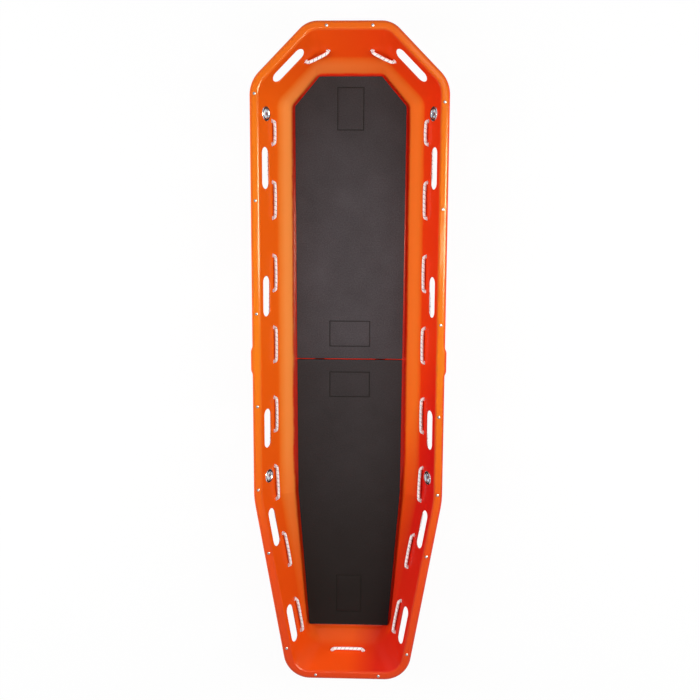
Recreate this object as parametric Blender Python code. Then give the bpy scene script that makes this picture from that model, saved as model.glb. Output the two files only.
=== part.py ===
"""Drag basket stretcher: a moulded plastic shell with a tube frame under its rim, a laced grab line,
four lifting eyelets and a foam mat in two halves.

+Y points to the head end, +X to the right, +Z up. The origin is on the ground under the middle.
"""

import math

import bmesh
import bpy
from mathutils import Matrix, Vector

MM = 0.001
GAP = 0.3 * MM  # clearance left between pieces that touch
WELD = 0.01 * MM

# The shell. A plan is one side's outline: its head, diagonal, shoulder and foot corners.
RIM_TOP = 187.5 * MM
WALL = 4.5 * MM
HEAD_END = 1092 * MM
FOOT_END = -1092 * MM
RIM_HALF_WIDTH = 316 * MM
RIM_CORNERS = (
    (133 * MM, HEAD_END),
    (RIM_HALF_WIDTH, 908 * MM),
    (RIM_HALF_WIDTH, -452 * MM),
    (205 * MM, FOOT_END),
)
RIM_RADII = (80 * MM, 100 * MM, 300 * MM, 92 * MM)
RIM_ROUND = 12 * MM
LIP_DROP = 30 * MM
RIM_INNER_TURN = math.radians(64)

# The frame in the rim's channel: two bent tubes, joined by a sleeve on each side.
TUBE_RADIUS = 11 * MM
TUBE_WALL = 2 * MM
TUBE_SIDES = 8
TUBE_END_GAP = 2 * MM
CHANNEL_CLEARANCE = 1 * MM
RIM_FLAT = 2 * (TUBE_RADIUS + CHANNEL_CLEARANCE + WALL - RIM_ROUND)
TUBE_INSET = RIM_ROUND + RIM_FLAT / 2
SLEEVE_SIDES = 12
SLEEVE_WALL = 1.4 * MM
SLEEVE_RADIUS = (TUBE_RADIUS + GAP) / math.cos(math.pi / SLEEVE_SIDES) + SLEEVE_WALL
SLEEVE_LENGTH = 56 * MM
SLEEVE_Y = 18 * MM
TUBE_Z = RIM_TOP - WALL - 2 * GAP - SLEEVE_RADIUS

# The rim swells outwards round the sleeves.
BULGE = 5 * MM
BULGE_FLAT = SLEEVE_LENGTH / 2 + 2 * MM
BULGE_RAMP = 18 * MM

# The crease between the steep wall and the flank.
CREASE_Z = 85 * MM
WALL_FLARE = 76.5 * MM
CREASE_HALF_WIDTH = RIM_HALF_WIDTH - WALL_FLARE
CREASE_CORNERS = (
    (104 * MM, 995 * MM),
    (CREASE_HALF_WIDTH, 859.5 * MM),
    (CREASE_HALF_WIDTH, -445.5 * MM),
    (142.5 * MM, -1007 * MM),
)
CREASE_RADII = (45 * MM, 60 * MM, 260 * MM, 70 * MM)
CREASE_SOFTNESS = 9 * MM
CREASE_ROUNDING = 0.03  # share of the way towards the middle of the wall and flank

FLOOR_CORNERS = (
    (107 * MM, 952 * MM),
    (192.5 * MM, 851 * MM),
    (186.5 * MM, -463 * MM),
    (148 * MM, -965.5 * MM),
)
FLOOR_RADII = (26 * MM, 30 * MM, 120 * MM, 36 * MM)
FLOOR_FILLET = 9 * MM
FILLET_MIDDLE = 0.3

CORNER_STEPS = (5, 5, 3, 7)

# The runners under the floor, moulded as hollow ridges.
RUNNER_HEIGHT = 26.5 * MM
RUNNER_X = 105 * MM
RUNNER_WIDTH = 44 * MM
RUNNER_DRAFT = 6 * MM
RUNNER_RAMP = 34 * MM
RUNNER_HEAD = 800 * MM
RUNNER_FOOT = -850 * MM
RUNNER_ROUND = 7 * MM
FLOOR_Z = RUNNER_HEIGHT + WALL

# Fasteners.
SCREW_HEAD_RADIUS = 4.6 * MM
SCREW_HEAD_HEIGHT = 2.5 * MM
SCREW_HEAD_EDGE = 0.8 * MM
SCREW_CROWN_RADIUS = 2.8 * MM
SCREW_CROWN_DROP = 0.35 * MM
SCREW_SHANK_RADIUS = 2.1 * MM
SCREW_POINT_RADIUS = 0.7 * MM
SCREW_SEGMENTS = 8
SCREW_REACH = 4.5 * MM  # how far a screw goes past the surface of the tube
SCREW_CLEARANCE = 0.4 * MM
RIM_SCREW_Y = {
    "right": (844 * MM, 512 * MM, 141 * MM, -164 * MM, -429 * MM, -644 * MM, -995 * MM),
    "left": (870 * MM, 537 * MM, 173 * MM, -135 * MM, -420 * MM, -640 * MM, -981 * MM),
}
HEAD_SCREW_X = 72 * MM
FOOT_SCREW_X = 108 * MM
SLEEVE_SCREW_OFFSET = 15 * MM

# Hand slots, all on the steep wall.
SLOT_LENGTH = 133 * MM
SLOT_WIDTH = 40 * MM
SLOT_Z = 150 * MM
SLOT_Y = (960 * MM, 642 * MM, 228 * MM, -216 * MM, -561 * MM, -906 * MM)
SLOT_END_STEPS = 5
CUT_DEPTH = 20 * MM

# Lifting eyelets: a flanged bush from the inside and a collar outside.
EYELET_Z = 146 * MM
EYELET_Y = (813 * MM, -382 * MM)
EYELET_BORE = 14 * MM
EYELET_BARREL_WALL = 2 * MM
EYELET_FLANGE = 23.5 * MM
EYELET_FLANGE_THICKNESS = 2.6 * MM
EYELET_FLANGE_EDGE = 1.2 * MM
EYELET_FLANGE_SLOPE = 2.2 * MM
EYELET_MOUTH = 2.6 * MM
EYELET_MOUTH_HEIGHT = 0.5 * MM
EYELET_PROJECTION = 5 * MM
COLLAR_FLANGE = 22 * MM
COLLAR_FLANGE_THICKNESS = 2.2 * MM
COLLAR_NECK = 18.5 * MM
COLLAR_CHAMFER = 1 * MM
EYELET_SEGMENTS = 18

# The grab line, laced in and out through the wall.
ROPE_RADIUS = 5 * MM
ROPE_HOLE = 6.8 * MM
ROPE_HOLE_SIDES = 8
ROPE_Z = 110 * MM
ROPE_HEAD_X = 71 * MM
ROPE_DIAGONAL_Y = 979 * MM
ROPE_SHORT_PAIR = (794 * MM, 720 * MM)
ROPE_FIRST_MIDDLE = 541 * MM
ROPE_PITCH = 239 * MM
ROPE_HALF_STRETCH = 58 * MM
ROPE_FOOT_CLEARANCE = 45 * MM
ROPE_FOOT_X = 54 * MM
ROPE_BEND = 8.5 * MM
ROPE_RISE = 1 * MM  # outside the wall, from its face to the start of the bend
ROPE_BOW = 2 * MM
ROPE_INNER_RISE = -1 * MM  # inside, the bend starts just within the hole
ROPE_INNER_BOW = 1 * MM
ROPE_BEND_ANGLES = tuple(math.radians(a) for a in (16, 46, 80))
ROPE_MIDDLE_SPACING = 45 * MM
ROPE_SLEEVE_LENGTH = 56 * MM
ROPE_SLEEVE_WALL = 1.6 * MM
ROPE_SLEEVE_LIP = 1 * MM
ROPE_SLEEVE_TAPER = 2 * MM
ROPE_SLEEVE_SIDES = 12
ROPE_END_GAP = 1 * MM

# The mat and its hook-and-loop patches.
MAT_THICKNESS = 15 * MM
MAT_MARGIN = 8.5 * MM  # from the edge of the floor
MAT_SEAM_Y = 5 * MM
MAT_SEAM_WIDTH = 4 * MM
MAT_EDGE = 1.2 * MM
MAT_UNDERCUT = 7 * MM
PATCH_LONG = 142 * MM
PATCH_SHORT = 92 * MM
PATCH_THICKNESS = 1.8 * MM
PATCH_FROM_SEAM = 88 * MM
PATCH_END_Y = 840 * MM
STITCH_WIDTH = 2 * MM
STITCH_DEPTH = 0.8 * MM
STITCH_MARGIN = 2 * MM


def clear_scene():
    for item in list(bpy.data.objects):
        bpy.data.objects.remove(item)


def make_material(name, colour, roughness, metallic=0.0):
    """A Principled material in a linear RGB colour."""
    made = bpy.data.materials.new(name)
    made.use_nodes = True
    shader = made.node_tree.nodes["Principled BSDF"]
    shader.inputs["Base Color"].default_value = (*colour, 1.0)
    shader.inputs["Roughness"].default_value = roughness
    shader.inputs["Metallic"].default_value = metallic
    made.diffuse_color = (*colour, 1.0)
    return made


def add_object(name, mesh, material=None, parent=None):
    made = bpy.data.objects.new(name, mesh)
    bpy.context.scene.collection.objects.link(made)
    if material:
        made.data.materials.append(material)
    if parent:
        made.parent = parent
    return made


def finish_mesh(name, shape, smooth_angle=35):
    """The bmesh as a mesh with its faces pointing out, smooth but for its sharp edges."""
    bmesh.ops.recalc_face_normals(shape, faces=shape.faces)
    mesh = bpy.data.meshes.new(name)
    shape.to_mesh(mesh)
    shape.free()
    mesh.shade_smooth()
    mesh.set_sharp_from_angle(angle=math.radians(smooth_angle))
    return mesh


def add_cutter(name, shape):
    cutter = add_object(name, finish_mesh(name, shape))
    cutter.hide_render = True
    cutter.display_type = "WIRE"
    return cutter


def boolean(target, cutter, operation):
    modifier = target.modifiers.new(f"{operation.title()} {cutter.name}", "BOOLEAN")
    modifier.object = cutter
    modifier.operation = operation
    modifier.solver = "EXACT"


# Plans


def inset_corners(corners, distance):
    """One side's corners with every edge moved inwards by the same distance."""
    chain = [(0.0, corners[0][1]), *corners, (0.0, corners[-1][1])]
    lines = []
    for (ax, ay), (bx, by) in zip(chain, chain[1:]):
        along = Vector((bx - ax, by - ay)).normalized()
        inwards = Vector((along.y, -along.x))
        lines.append((Vector((ax, ay)) + inwards * distance, along))
    moved = []
    for (p, d), (q, e) in zip(lines, lines[1:]):
        reach = (q - p).cross(e) / d.cross(e)
        moved.append(tuple(p + d * reach))
    return tuple(moved)


def corner_arc(before, corner, after, radius, steps):
    """The points of an arc that rounds one corner."""
    corner = Vector(corner)
    to_before = (Vector(before) - corner).normalized()
    to_after = (Vector(after) - corner).normalized()
    half = to_before.angle(to_after) / 2
    centre = corner + (to_before + to_after).normalized() * (radius / math.sin(half))
    start = corner + to_before * (radius / math.tan(half)) - centre
    sweep = math.pi - 2 * half
    turn = math.copysign(sweep, start.cross(corner + to_after * (radius / math.tan(half)) - centre))
    points = []
    for i in range(steps + 1):
        angle = turn * i / steps
        points.append(centre + Matrix.Rotation(angle, 2) @ start)
    return points


def side_stations():
    """Where the straight side has points, so that the rim can swell round the sleeve."""
    reaches = (BULGE_FLAT + BULGE_RAMP, BULGE_FLAT + BULGE_RAMP / 2, BULGE_FLAT)
    return [SLEEVE_Y + r for r in reaches] + [SLEEVE_Y - r for r in reversed(reaches)]


def swell(y):
    """How much of the swelling the rim has at y, from 0 to 1."""
    past = (abs(y - SLEEVE_Y) - BULGE_FLAT) / BULGE_RAMP
    share = min(1.0, max(0.0, 1.0 - past))
    return share * share * (3 - 2 * share)


def plan(corners, radii, z, bulge=0.0):
    """A closed ring of points at height z, from the head end round by +X and back by -X."""
    chain = [(0.0, corners[0][1]), *corners, (0.0, corners[-1][1])]
    half = []
    for i, (radius, steps) in enumerate(zip(radii, CORNER_STEPS)):
        half += corner_arc(chain[i], chain[i + 1], chain[i + 2], radius, steps)
        if i == 1:
            x = corners[1][0]
            half += [Vector((x + bulge * swell(y), y)) for y in side_stations()]
    right = [Vector((p.x, p.y, z)) for p in half]
    left = [Vector((-p.x, p.y, z)) for p in reversed(half)]
    head = Vector((0.0, corners[0][1], z))
    foot = Vector((0.0, corners[-1][1], z))
    return [head, *right, foot, *left]


def rim_ring(inset, z, bulge_share=0.0):
    radii = [r - inset for r in RIM_RADII]
    return plan(inset_corners(RIM_CORNERS, inset), radii, z, BULGE * bulge_share)


def blend_rings(upper, lower, share):
    return [a.lerp(b, share) for a, b in zip(upper, lower)]


def rim_inner_edge():
    """Inset and height of the line where the rim's round meets the steep wall."""
    centre_inset = RIM_ROUND + RIM_FLAT
    inset = centre_inset + RIM_ROUND * math.sin(RIM_INNER_TURN)
    return inset, RIM_TOP - RIM_ROUND + RIM_ROUND * math.cos(RIM_INNER_TURN)


def wall_top_ring():
    inset, z = rim_inner_edge()
    return rim_ring(inset, z)


def crease_ring():
    return plan(CREASE_CORNERS, CREASE_RADII, CREASE_Z)


def floor_ring(inset=0.0, z=FLOOR_Z):
    radii = [r - inset for r in FLOOR_RADII]
    return plan(inset_corners(FLOOR_CORNERS, inset), radii, z)


def wall_ring(z):
    """The steep wall's inner surface at height z."""
    upper, lower = wall_top_ring(), crease_ring()
    share = (upper[0].z - z) / (upper[0].z - CREASE_Z)
    return blend_rings(upper, lower, share)


class RingLine:
    """A closed ring of points, with the distance along it."""

    def __init__(self, points):
        self.points = points
        self.starts = [0.0]
        for a, b in zip(points, points[1:] + points[:1]):
            self.starts.append(self.starts[-1] + (b - a).length)
        self.length = self.starts[-1]

    def crossing(self, axis, value, wanted):
        """Distance along the line at which one coordinate has this value, on the wanted stretch."""
        count = len(self.points)
        for i in range(count):
            a, b = self.points[i], self.points[(i + 1) % count]
            if (a[axis] - value) * (b[axis] - value) <= 0 and a[axis] != b[axis]:
                share = (value - a[axis]) / (b[axis] - a[axis])
                if wanted(a.lerp(b, share)):
                    return self.starts[i] + share * (b - a).length
        raise ValueError("the line has no such place")

    def on_side(self, side, y):
        return self.crossing(1, y, lambda p: p.x * side > 0)

    def on_end(self, end, x):
        return self.crossing(0, x, lambda p: p.y * end > 0)

    def find(self, distance):
        """(point before, point after, share of the way between them) at this distance."""
        distance %= self.length
        i = max(k for k in range(len(self.points)) if self.starts[k] <= distance)
        share = (distance - self.starts[i]) / (self.starts[i + 1] - self.starts[i])
        return i, (i + 1) % len(self.points), share

    def point(self, distance):
        i, after, share = self.find(distance)
        return self.points[i].lerp(self.points[after], share)


class WallLine(RingLine):
    """A level line on the steep wall, with the wall's frame at each place along it."""

    def __init__(self, z):
        super().__init__(wall_ring(z))
        self.below = wall_ring(z - MM)

    def frame(self, distance):
        """(point, normal into the basket, direction along the line) at this distance."""
        i, after, share = self.find(distance)
        point = self.point(distance)
        lower = self.below[i].lerp(self.below[after], share)
        along = (self.points[after] - self.points[i]).normalized()
        normal = along.cross(lower - point).normalized()
        if normal.z < 0:
            normal.negate()
        return point, normal, along


def place(point, normal, along):
    """A matrix that puts local Z on the normal and local X along the wall."""
    across = normal.cross(along)
    turn = Matrix((along, across, normal)).transposed().to_4x4()
    return Matrix.Translation(point) @ turn


# Solids that several pieces use


def loft(shape, rings):
    """Skins rings of as many points one after another and returns the first and last ring's vertices."""
    loops = [[shape.verts.new(p) for p in points] for points in rings]
    for upper, lower in zip(loops, loops[1:]):
        for i, vert in enumerate(upper):
            shape.faces.new((upper[i - 1], vert, lower[i], lower[i - 1]))
    return loops[0], loops[-1]


def cap(shape, loop):
    shape.faces.new(loop)


def turned(shape, profile, segments, matrix):
    """Spins a closed or axis-to-axis profile of (radius, height) points about local Z."""
    points = [Vector((r, 0, h)) for r, h in profile]
    verts = [shape.verts.new(p) for p in points]
    edges = [shape.edges.new(pair) for pair in zip(verts, verts[1:])]
    if profile[0][0] > 0:
        edges.append(shape.edges.new((verts[-1], verts[0])))
    before = set(shape.verts) - set(verts)
    bmesh.ops.spin(
        shape,
        geom=verts + edges,
        axis=(0, 0, 1),
        cent=(0, 0, 0),
        angle=math.tau,
        steps=segments,
        use_merge=True,
    )
    fresh = [v for v in shape.verts if v not in before]
    bmesh.ops.remove_doubles(shape, verts=fresh, dist=WELD)
    fresh = [v for v in shape.verts if v not in before]
    bmesh.ops.transform(shape, matrix=matrix, verts=fresh)


def add_cylinder(shape, radius, sides, low, high, matrix):
    """A closed cylinder from low to high along the matrix's Z."""
    middle = Matrix.Translation((0, 0, (low + high) / 2))
    bmesh.ops.create_cone(
        shape,
        cap_ends=True,
        segments=sides,
        radius1=radius,
        radius2=radius,
        depth=high - low,
        matrix=matrix @ middle,
    )


def add_prism(shape, outline, low, high, matrix=None):
    """A closed prism from a flat outline of (x, y) points."""
    matrix = matrix or Matrix.Identity(4)
    rings = [[matrix @ Vector((x, y, z)) for x, y in outline] for z in (low, high)]
    bottom, top = loft(shape, rings)
    cap(shape, bottom)
    cap(shape, top)


def rectangle(centre_x, centre_y, width, length):
    w, h = width / 2, length / 2
    return [
        (centre_x - w, centre_y - h),
        (centre_x + w, centre_y - h),
        (centre_x + w, centre_y + h),
        (centre_x - w, centre_y + h),
    ]


def stadium(length, width, steps):
    """The outline of a slot with round ends."""
    radius = width / 2
    reach = length / 2 - radius
    points = []
    for end in (1, -1):
        for i in range(steps + 1):
            angle = math.pi * (i / steps - 0.5)
            x = end * (reach + radius * math.cos(angle))
            points.append((x, end * radius * math.sin(angle)))
    return points


# Where the fasteners, slots, eyelets and rope holes are


def rim_screw_places():
    """Name and (x, y) of each screw in the rim, on the line of the tube."""
    line = RingLine(rim_ring(TUBE_INSET, TUBE_Z))
    places = []
    for side, word in ((1, "right"), (-1, "left")):
        for i, y in enumerate(RIM_SCREW_Y[word], 1):
            point = line.point(line.on_side(side, y))
            places.append((f"rim_screw_{word}_{i}", point.x, point.y))
        places.append((f"rim_screw_head_{word}", side * HEAD_SCREW_X, HEAD_END - TUBE_INSET))
        places.append((f"rim_screw_foot_{word}", side * FOOT_SCREW_X, FOOT_END + TUBE_INSET))
    return places


def slot_frames():
    line = WallLine(SLOT_Z)
    return [place(*line.frame(line.on_side(side, y))) for side in (1, -1) for y in SLOT_Y]


def eyelet_frames():
    line = WallLine(EYELET_Z)
    frames = []
    for side, word in ((1, "right"), (-1, "left")):
        for y, end in zip(EYELET_Y, ("head", "foot")):
            frames.append((f"{end}_{word}", place(*line.frame(line.on_side(side, y)))))
    return frames


def rope_holes(line):
    """Distances along the line of one side's holes, from the head end to the foot end."""
    heights = [ROPE_DIAGONAL_Y, *ROPE_SHORT_PAIR]
    lowest = CREASE_CORNERS[-1][1] + ROPE_FOOT_CLEARANCE + ROPE_HALF_STRETCH
    stretches = 1 + int((ROPE_FIRST_MIDDLE - lowest) / ROPE_PITCH)
    for i in range(stretches):
        middle = ROPE_FIRST_MIDDLE - i * ROPE_PITCH
        heights += [middle + ROPE_HALF_STRETCH, middle - ROPE_HALF_STRETCH]
    right = [line.on_end(1, ROPE_HEAD_X)]
    right += [line.on_side(1, y) for y in heights]
    right.append(line.on_end(-1, ROPE_FOOT_X))
    left = [line.length - d for d in reversed(right)]
    return right + left


# Pieces


def make_shell(material):
    arc = [math.radians(a) for a in (90, 60, 30, 0)]
    rings = [rim_ring(0, RIM_TOP - LIP_DROP, 1)]
    for a in arc:
        inset = RIM_ROUND * (1 - math.sin(a))
        z = RIM_TOP - RIM_ROUND * (1 - math.cos(a))
        rings.append(rim_ring(inset, z, math.sin(a)))
    for share in (0, 1 / 3, 2 / 3, 1):
        a = RIM_INNER_TURN * share
        inset = RIM_ROUND + RIM_FLAT + RIM_ROUND * math.sin(a)
        rings.append(rim_ring(inset, RIM_TOP - RIM_ROUND * (1 - math.cos(a))))
    wall_top, crease, floor = wall_top_ring(), crease_ring(), floor_ring()
    wall_share = CREASE_SOFTNESS / (wall_top[0].z - CREASE_Z)
    flank_share = CREASE_SOFTNESS / (CREASE_Z - FLOOR_Z)
    rings.append(blend_rings(crease, wall_top, 2 * wall_share))
    rings.append(blend_rings(crease, blend_rings(wall_top, floor, 0.5), CREASE_ROUNDING))
    rings.append(blend_rings(crease, floor, 2 * flank_share))
    fillet_share = FLOOR_FILLET / (CREASE_Z - FLOOR_Z)
    rings.append(blend_rings(floor, crease, fillet_share))
    rings.append(blend_rings(floor, crease, fillet_share * FILLET_MIDDLE))
    rings.append(floor_ring(FLOOR_FILLET))
    shape = bmesh.new()
    _, floor_loop = loft(shape, rings)
    cap(shape, floor_loop)
    bmesh.ops.recalc_face_normals(shape, faces=shape.faces)
    shape.normal_update()
    if sum(f.normal.z * f.calc_area() for f in shape.faces) < 0:
        bmesh.ops.reverse_faces(shape, faces=shape.faces)
    mesh = bpy.data.meshes.new("shell")
    shape.to_mesh(mesh)
    shape.free()
    mesh.shade_smooth()
    mesh.set_sharp_from_angle(angle=math.radians(40))
    shell = add_object("shell", mesh, material)
    skin = shell.modifiers.new("Wall", "SOLIDIFY")
    skin.thickness = WALL
    skin.offset = -1
    skin.use_even_offset = True
    return shell


def add_runner(shape, side, shrink, low, high):
    """One tapered ridge under the floor, made smaller all round by shrink."""
    middle = (RUNNER_HEAD + RUNNER_FOOT) / 2
    length = RUNNER_HEAD - RUNNER_FOOT - 2 * shrink
    width = RUNNER_WIDTH - 2 * shrink
    rings = []
    for z in (low, high):
        drop = (FLOOR_Z - z) / RUNNER_HEIGHT
        w = width - 2 * RUNNER_DRAFT * drop
        run = length - 2 * RUNNER_RAMP * drop
        radius = RUNNER_ROUND
        x, y = side * RUNNER_X, middle
        box = [Vector((px, py)) for px, py in rectangle(x, y, w, run)]
        ring = []
        for i, corner in enumerate(box):
            ring += corner_arc(box[i - 1], corner, box[(i + 1) % 4], radius, 2)
        rings.append([Vector((p.x, p.y, z)) for p in ring])
    bottom, top = loft(shape, rings)
    cap(shape, bottom)
    cap(shape, top)


def add_runners(shell):
    ridges = bmesh.new()
    grooves = bmesh.new()
    for side in (1, -1):
        add_runner(ridges, side, 0, 0, FLOOR_Z - WALL / 2)
        add_runner(grooves, side, WALL, WALL, FLOOR_Z + WALL)
    boolean(shell, add_cutter("runner_ridges", ridges), "UNION")
    boolean(shell, add_cutter("runner_grooves", grooves), "DIFFERENCE")


def cut_shell(shell, screw_cutter):
    slots = bmesh.new()
    outline = stadium(SLOT_LENGTH, SLOT_WIDTH, SLOT_END_STEPS)
    for frame in slot_frames():
        add_prism(slots, outline, -CUT_DEPTH, CUT_DEPTH, frame)
    holes = bmesh.new()
    line = WallLine(ROPE_Z)
    for distance in rope_holes(line):
        frame = place(*line.frame(distance))
        add_cylinder(holes, ROPE_HOLE, ROPE_HOLE_SIDES, -CUT_DEPTH, CUT_DEPTH, frame)
    barrel = EYELET_BORE + EYELET_BARREL_WALL + GAP
    for _, frame in eyelet_frames():
        add_cylinder(holes, barrel, EYELET_SEGMENTS, -CUT_DEPTH, CUT_DEPTH, frame)
    boolean(shell, add_cutter("slot_cuts", slots), "DIFFERENCE")
    boolean(shell, add_cutter("hole_cuts", holes), "DIFFERENCE")
    boolean(shell, screw_cutter, "DIFFERENCE")


def screw_cutter():
    shape = bmesh.new()
    radius = SCREW_SHANK_RADIUS + SCREW_CLEARANCE
    for _, x, y in rim_screw_places():
        matrix = Matrix.Translation((x, y, 0))
        add_cylinder(shape, radius, SCREW_SEGMENTS, TUBE_Z, RIM_TOP + WALL, matrix)
    return add_cutter("screw_cuts", shape)


def sleeve_screw_places():
    x = RIM_HALF_WIDTH - TUBE_INSET
    for side, word in ((1, "right"), (-1, "left")):
        for end, way in (("head", 1), ("foot", -1)):
            yield f"sleeve_screw_{end}_{word}", side * x, SLEEVE_Y + way * SLEEVE_SCREW_OFFSET


def sleeve_screw_cutter():
    shape = bmesh.new()
    radius = SCREW_SHANK_RADIUS + SCREW_CLEARANCE
    for _, x, y in sleeve_screw_places():
        matrix = Matrix.Translation((x, y, 0))
        add_cylinder(shape, radius, SCREW_SEGMENTS, TUBE_Z - 2 * SLEEVE_RADIUS, TUBE_Z, matrix)
    return add_cutter("sleeve_screw_cuts", shape)


def sweep_tube(name, path, radius, wall, sides, material):
    """A hollow tube along a level path, open at both ends."""
    rings = []
    for i, point in enumerate(path):
        before = path[max(i - 1, 0)]
        after = path[min(i + 1, len(path) - 1)]
        out = (after - before).cross(Vector((0, 0, 1))).normalized()
        up = Vector((0, 0, 1))
        ring = []
        for k in range(sides):
            angle = math.tau * (k + 0.5) / sides
            ring.append(point + (out * math.cos(angle) + up * math.sin(angle)) * radius)
        rings.append(ring)
    shape = bmesh.new()
    loft(shape, rings)
    bmesh.ops.recalc_face_normals(shape, faces=shape.faces)
    shape.normal_update()
    top = max(shape.faces, key=lambda f: f.calc_center_median().z)
    if top.normal.z < 0:
        bmesh.ops.reverse_faces(shape, faces=shape.faces)
    mesh = bpy.data.meshes.new(name)
    shape.to_mesh(mesh)
    shape.free()
    mesh.shade_smooth()
    made = add_object(name, mesh, material)
    skin = made.modifiers.new("Wall", "SOLIDIFY")
    skin.thickness = wall
    skin.offset = -1
    skin.use_even_offset = True
    return made


def make_frame(material, rim_cuts, sleeve_cuts):
    """The two bent tubes and the two sleeves that join them."""
    ring = rim_ring(TUBE_INSET, TUBE_Z)
    x = RIM_HALF_WIDTH - TUBE_INSET
    half = len(ring) // 2
    right, left = ring[: half + 1], ring[half:] + ring[:1]
    stops = {end: SLEEVE_Y + way * TUBE_END_GAP / 2 for end, way in (("head", 1), ("foot", -1))}
    head = [p for p in left if p.y > SLEEVE_Y] + [p for p in right[1:] if p.y > SLEEVE_Y]
    foot = [p for p in right if p.y < SLEEVE_Y] + [p for p in left[1:] if p.y < SLEEVE_Y]
    head = [Vector((-x, stops["head"], TUBE_Z)), *head, Vector((x, stops["head"], TUBE_Z))]
    foot = [Vector((x, stops["foot"], TUBE_Z)), *foot, Vector((-x, stops["foot"], TUBE_Z))]
    for name, path in (("head_frame_tube", head), ("foot_frame_tube", foot)):
        tube = sweep_tube(name, path, TUBE_RADIUS, TUBE_WALL, TUBE_SIDES, material)
        boolean(tube, rim_cuts, "DIFFERENCE")
        boolean(tube, sleeve_cuts, "DIFFERENCE")
    for side, word in ((1, "right"), (-1, "left")):
        ends = [SLEEVE_Y - SLEEVE_LENGTH / 2, SLEEVE_Y + SLEEVE_LENGTH / 2]
        path = [Vector((side * x, y, TUBE_Z)) for y in ends]
        name = f"frame_sleeve_{word}"
        sleeve = sweep_tube(name, path, SLEEVE_RADIUS, SLEEVE_WALL, SLEEVE_SIDES, material)
        boolean(sleeve, sleeve_cuts, "DIFFERENCE")


def screw_mesh(name, shank):
    """A pan-head screw whose head sits on local Z 0 and whose shank points down."""
    profile = (
        (0, SCREW_HEAD_HEIGHT),
        (SCREW_CROWN_RADIUS, SCREW_HEAD_HEIGHT - SCREW_CROWN_DROP),
        (SCREW_HEAD_RADIUS, SCREW_HEAD_EDGE),
        (SCREW_HEAD_RADIUS, 0),
        (SCREW_SHANK_RADIUS, 0),
        (SCREW_SHANK_RADIUS, -shank + SCREW_SHANK_RADIUS),
        (SCREW_POINT_RADIUS, -shank),
        (0, -shank),
    )
    shape = bmesh.new()
    turned(shape, profile, SCREW_SEGMENTS, Matrix.Identity(4))
    return finish_mesh(name, shape)


def make_screws(material):
    reach = RIM_TOP - (TUBE_Z + TUBE_RADIUS) + SCREW_REACH
    rim_mesh = screw_mesh("rim_screw", reach)
    for name, x, y in rim_screw_places():
        screw = add_object(name, rim_mesh)
        screw.location = (x, y, RIM_TOP + GAP / 2)
    rim_mesh.materials.append(material)
    sleeve_mesh = screw_mesh("sleeve_screw", SLEEVE_RADIUS - TUBE_RADIUS + SCREW_REACH)
    for name, x, y in sleeve_screw_places():
        screw = add_object(name, sleeve_mesh)
        screw.location = (x, y, TUBE_Z - SLEEVE_RADIUS - GAP / 2)
        screw.rotation_euler = (math.pi, 0, 0)
    sleeve_mesh.materials.append(material)


def bush_profile():
    """The eyelet's bush: its flange on the inner side and its barrel through the wall."""
    outside = EYELET_BORE + EYELET_BARREL_WALL
    end = -(WALL + 2 * GAP + EYELET_PROJECTION + COLLAR_FLANGE_THICKNESS)
    return (
        (EYELET_BORE, end),
        (outside, end),
        (outside, GAP),
        (EYELET_FLANGE, GAP),
        (EYELET_FLANGE, GAP + EYELET_FLANGE_EDGE),
        (EYELET_FLANGE - EYELET_FLANGE_SLOPE, GAP + EYELET_FLANGE_THICKNESS),
        (EYELET_BORE + EYELET_MOUTH, GAP + EYELET_FLANGE_THICKNESS),
        (EYELET_BORE, GAP + EYELET_MOUTH_HEIGHT),
    )


def collar_profile():
    """The collar on the outer side: a broad flange on the wall and a neck round the barrel."""
    inside = EYELET_BORE + EYELET_BARREL_WALL + GAP
    top = -(WALL + GAP)
    return (
        (inside, top),
        (inside, top - EYELET_PROJECTION),
        (COLLAR_NECK - COLLAR_CHAMFER, top - EYELET_PROJECTION),
        (COLLAR_NECK, top - EYELET_PROJECTION + COLLAR_CHAMFER),
        (COLLAR_NECK, top - COLLAR_FLANGE_THICKNESS),
        (COLLAR_FLANGE, top - COLLAR_FLANGE_THICKNESS),
        (COLLAR_FLANGE, top),
    )


def make_eyelets(material):
    for kind, profile in (("eyelet_bush", bush_profile()), ("eyelet_collar", collar_profile())):
        shape = bmesh.new()
        turned(shape, profile, EYELET_SEGMENTS, Matrix.Identity(4))
        mesh = finish_mesh(kind, shape)
        mesh.materials.append(material)
        for where, frame in eyelet_frames():
            piece = add_object(f"{kind}_{where}", mesh)
            piece.matrix_world = frame


def stretch_stations(length, start=ROPE_RISE, bow=ROPE_BOW):
    """(distance from the first hole, height off the wall) along one stretch of rope."""
    rise = [(ROPE_BEND * (1 - math.cos(a)), start + ROPE_BEND * math.sin(a)) for a in ROPE_BEND_ANGLES]
    full = start + ROPE_BEND
    inner = length - 2 * ROPE_BEND
    count = max(1, round(inner / ROPE_MIDDLE_SPACING) - 1)
    middle = []
    for i in range(count):
        share = (i + 1) / (count + 1)
        middle.append((ROPE_BEND + inner * share, full + bow * math.sin(math.pi * share)))
    return rise + middle + [(length - s, h) for s, h in reversed(rise)]


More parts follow.
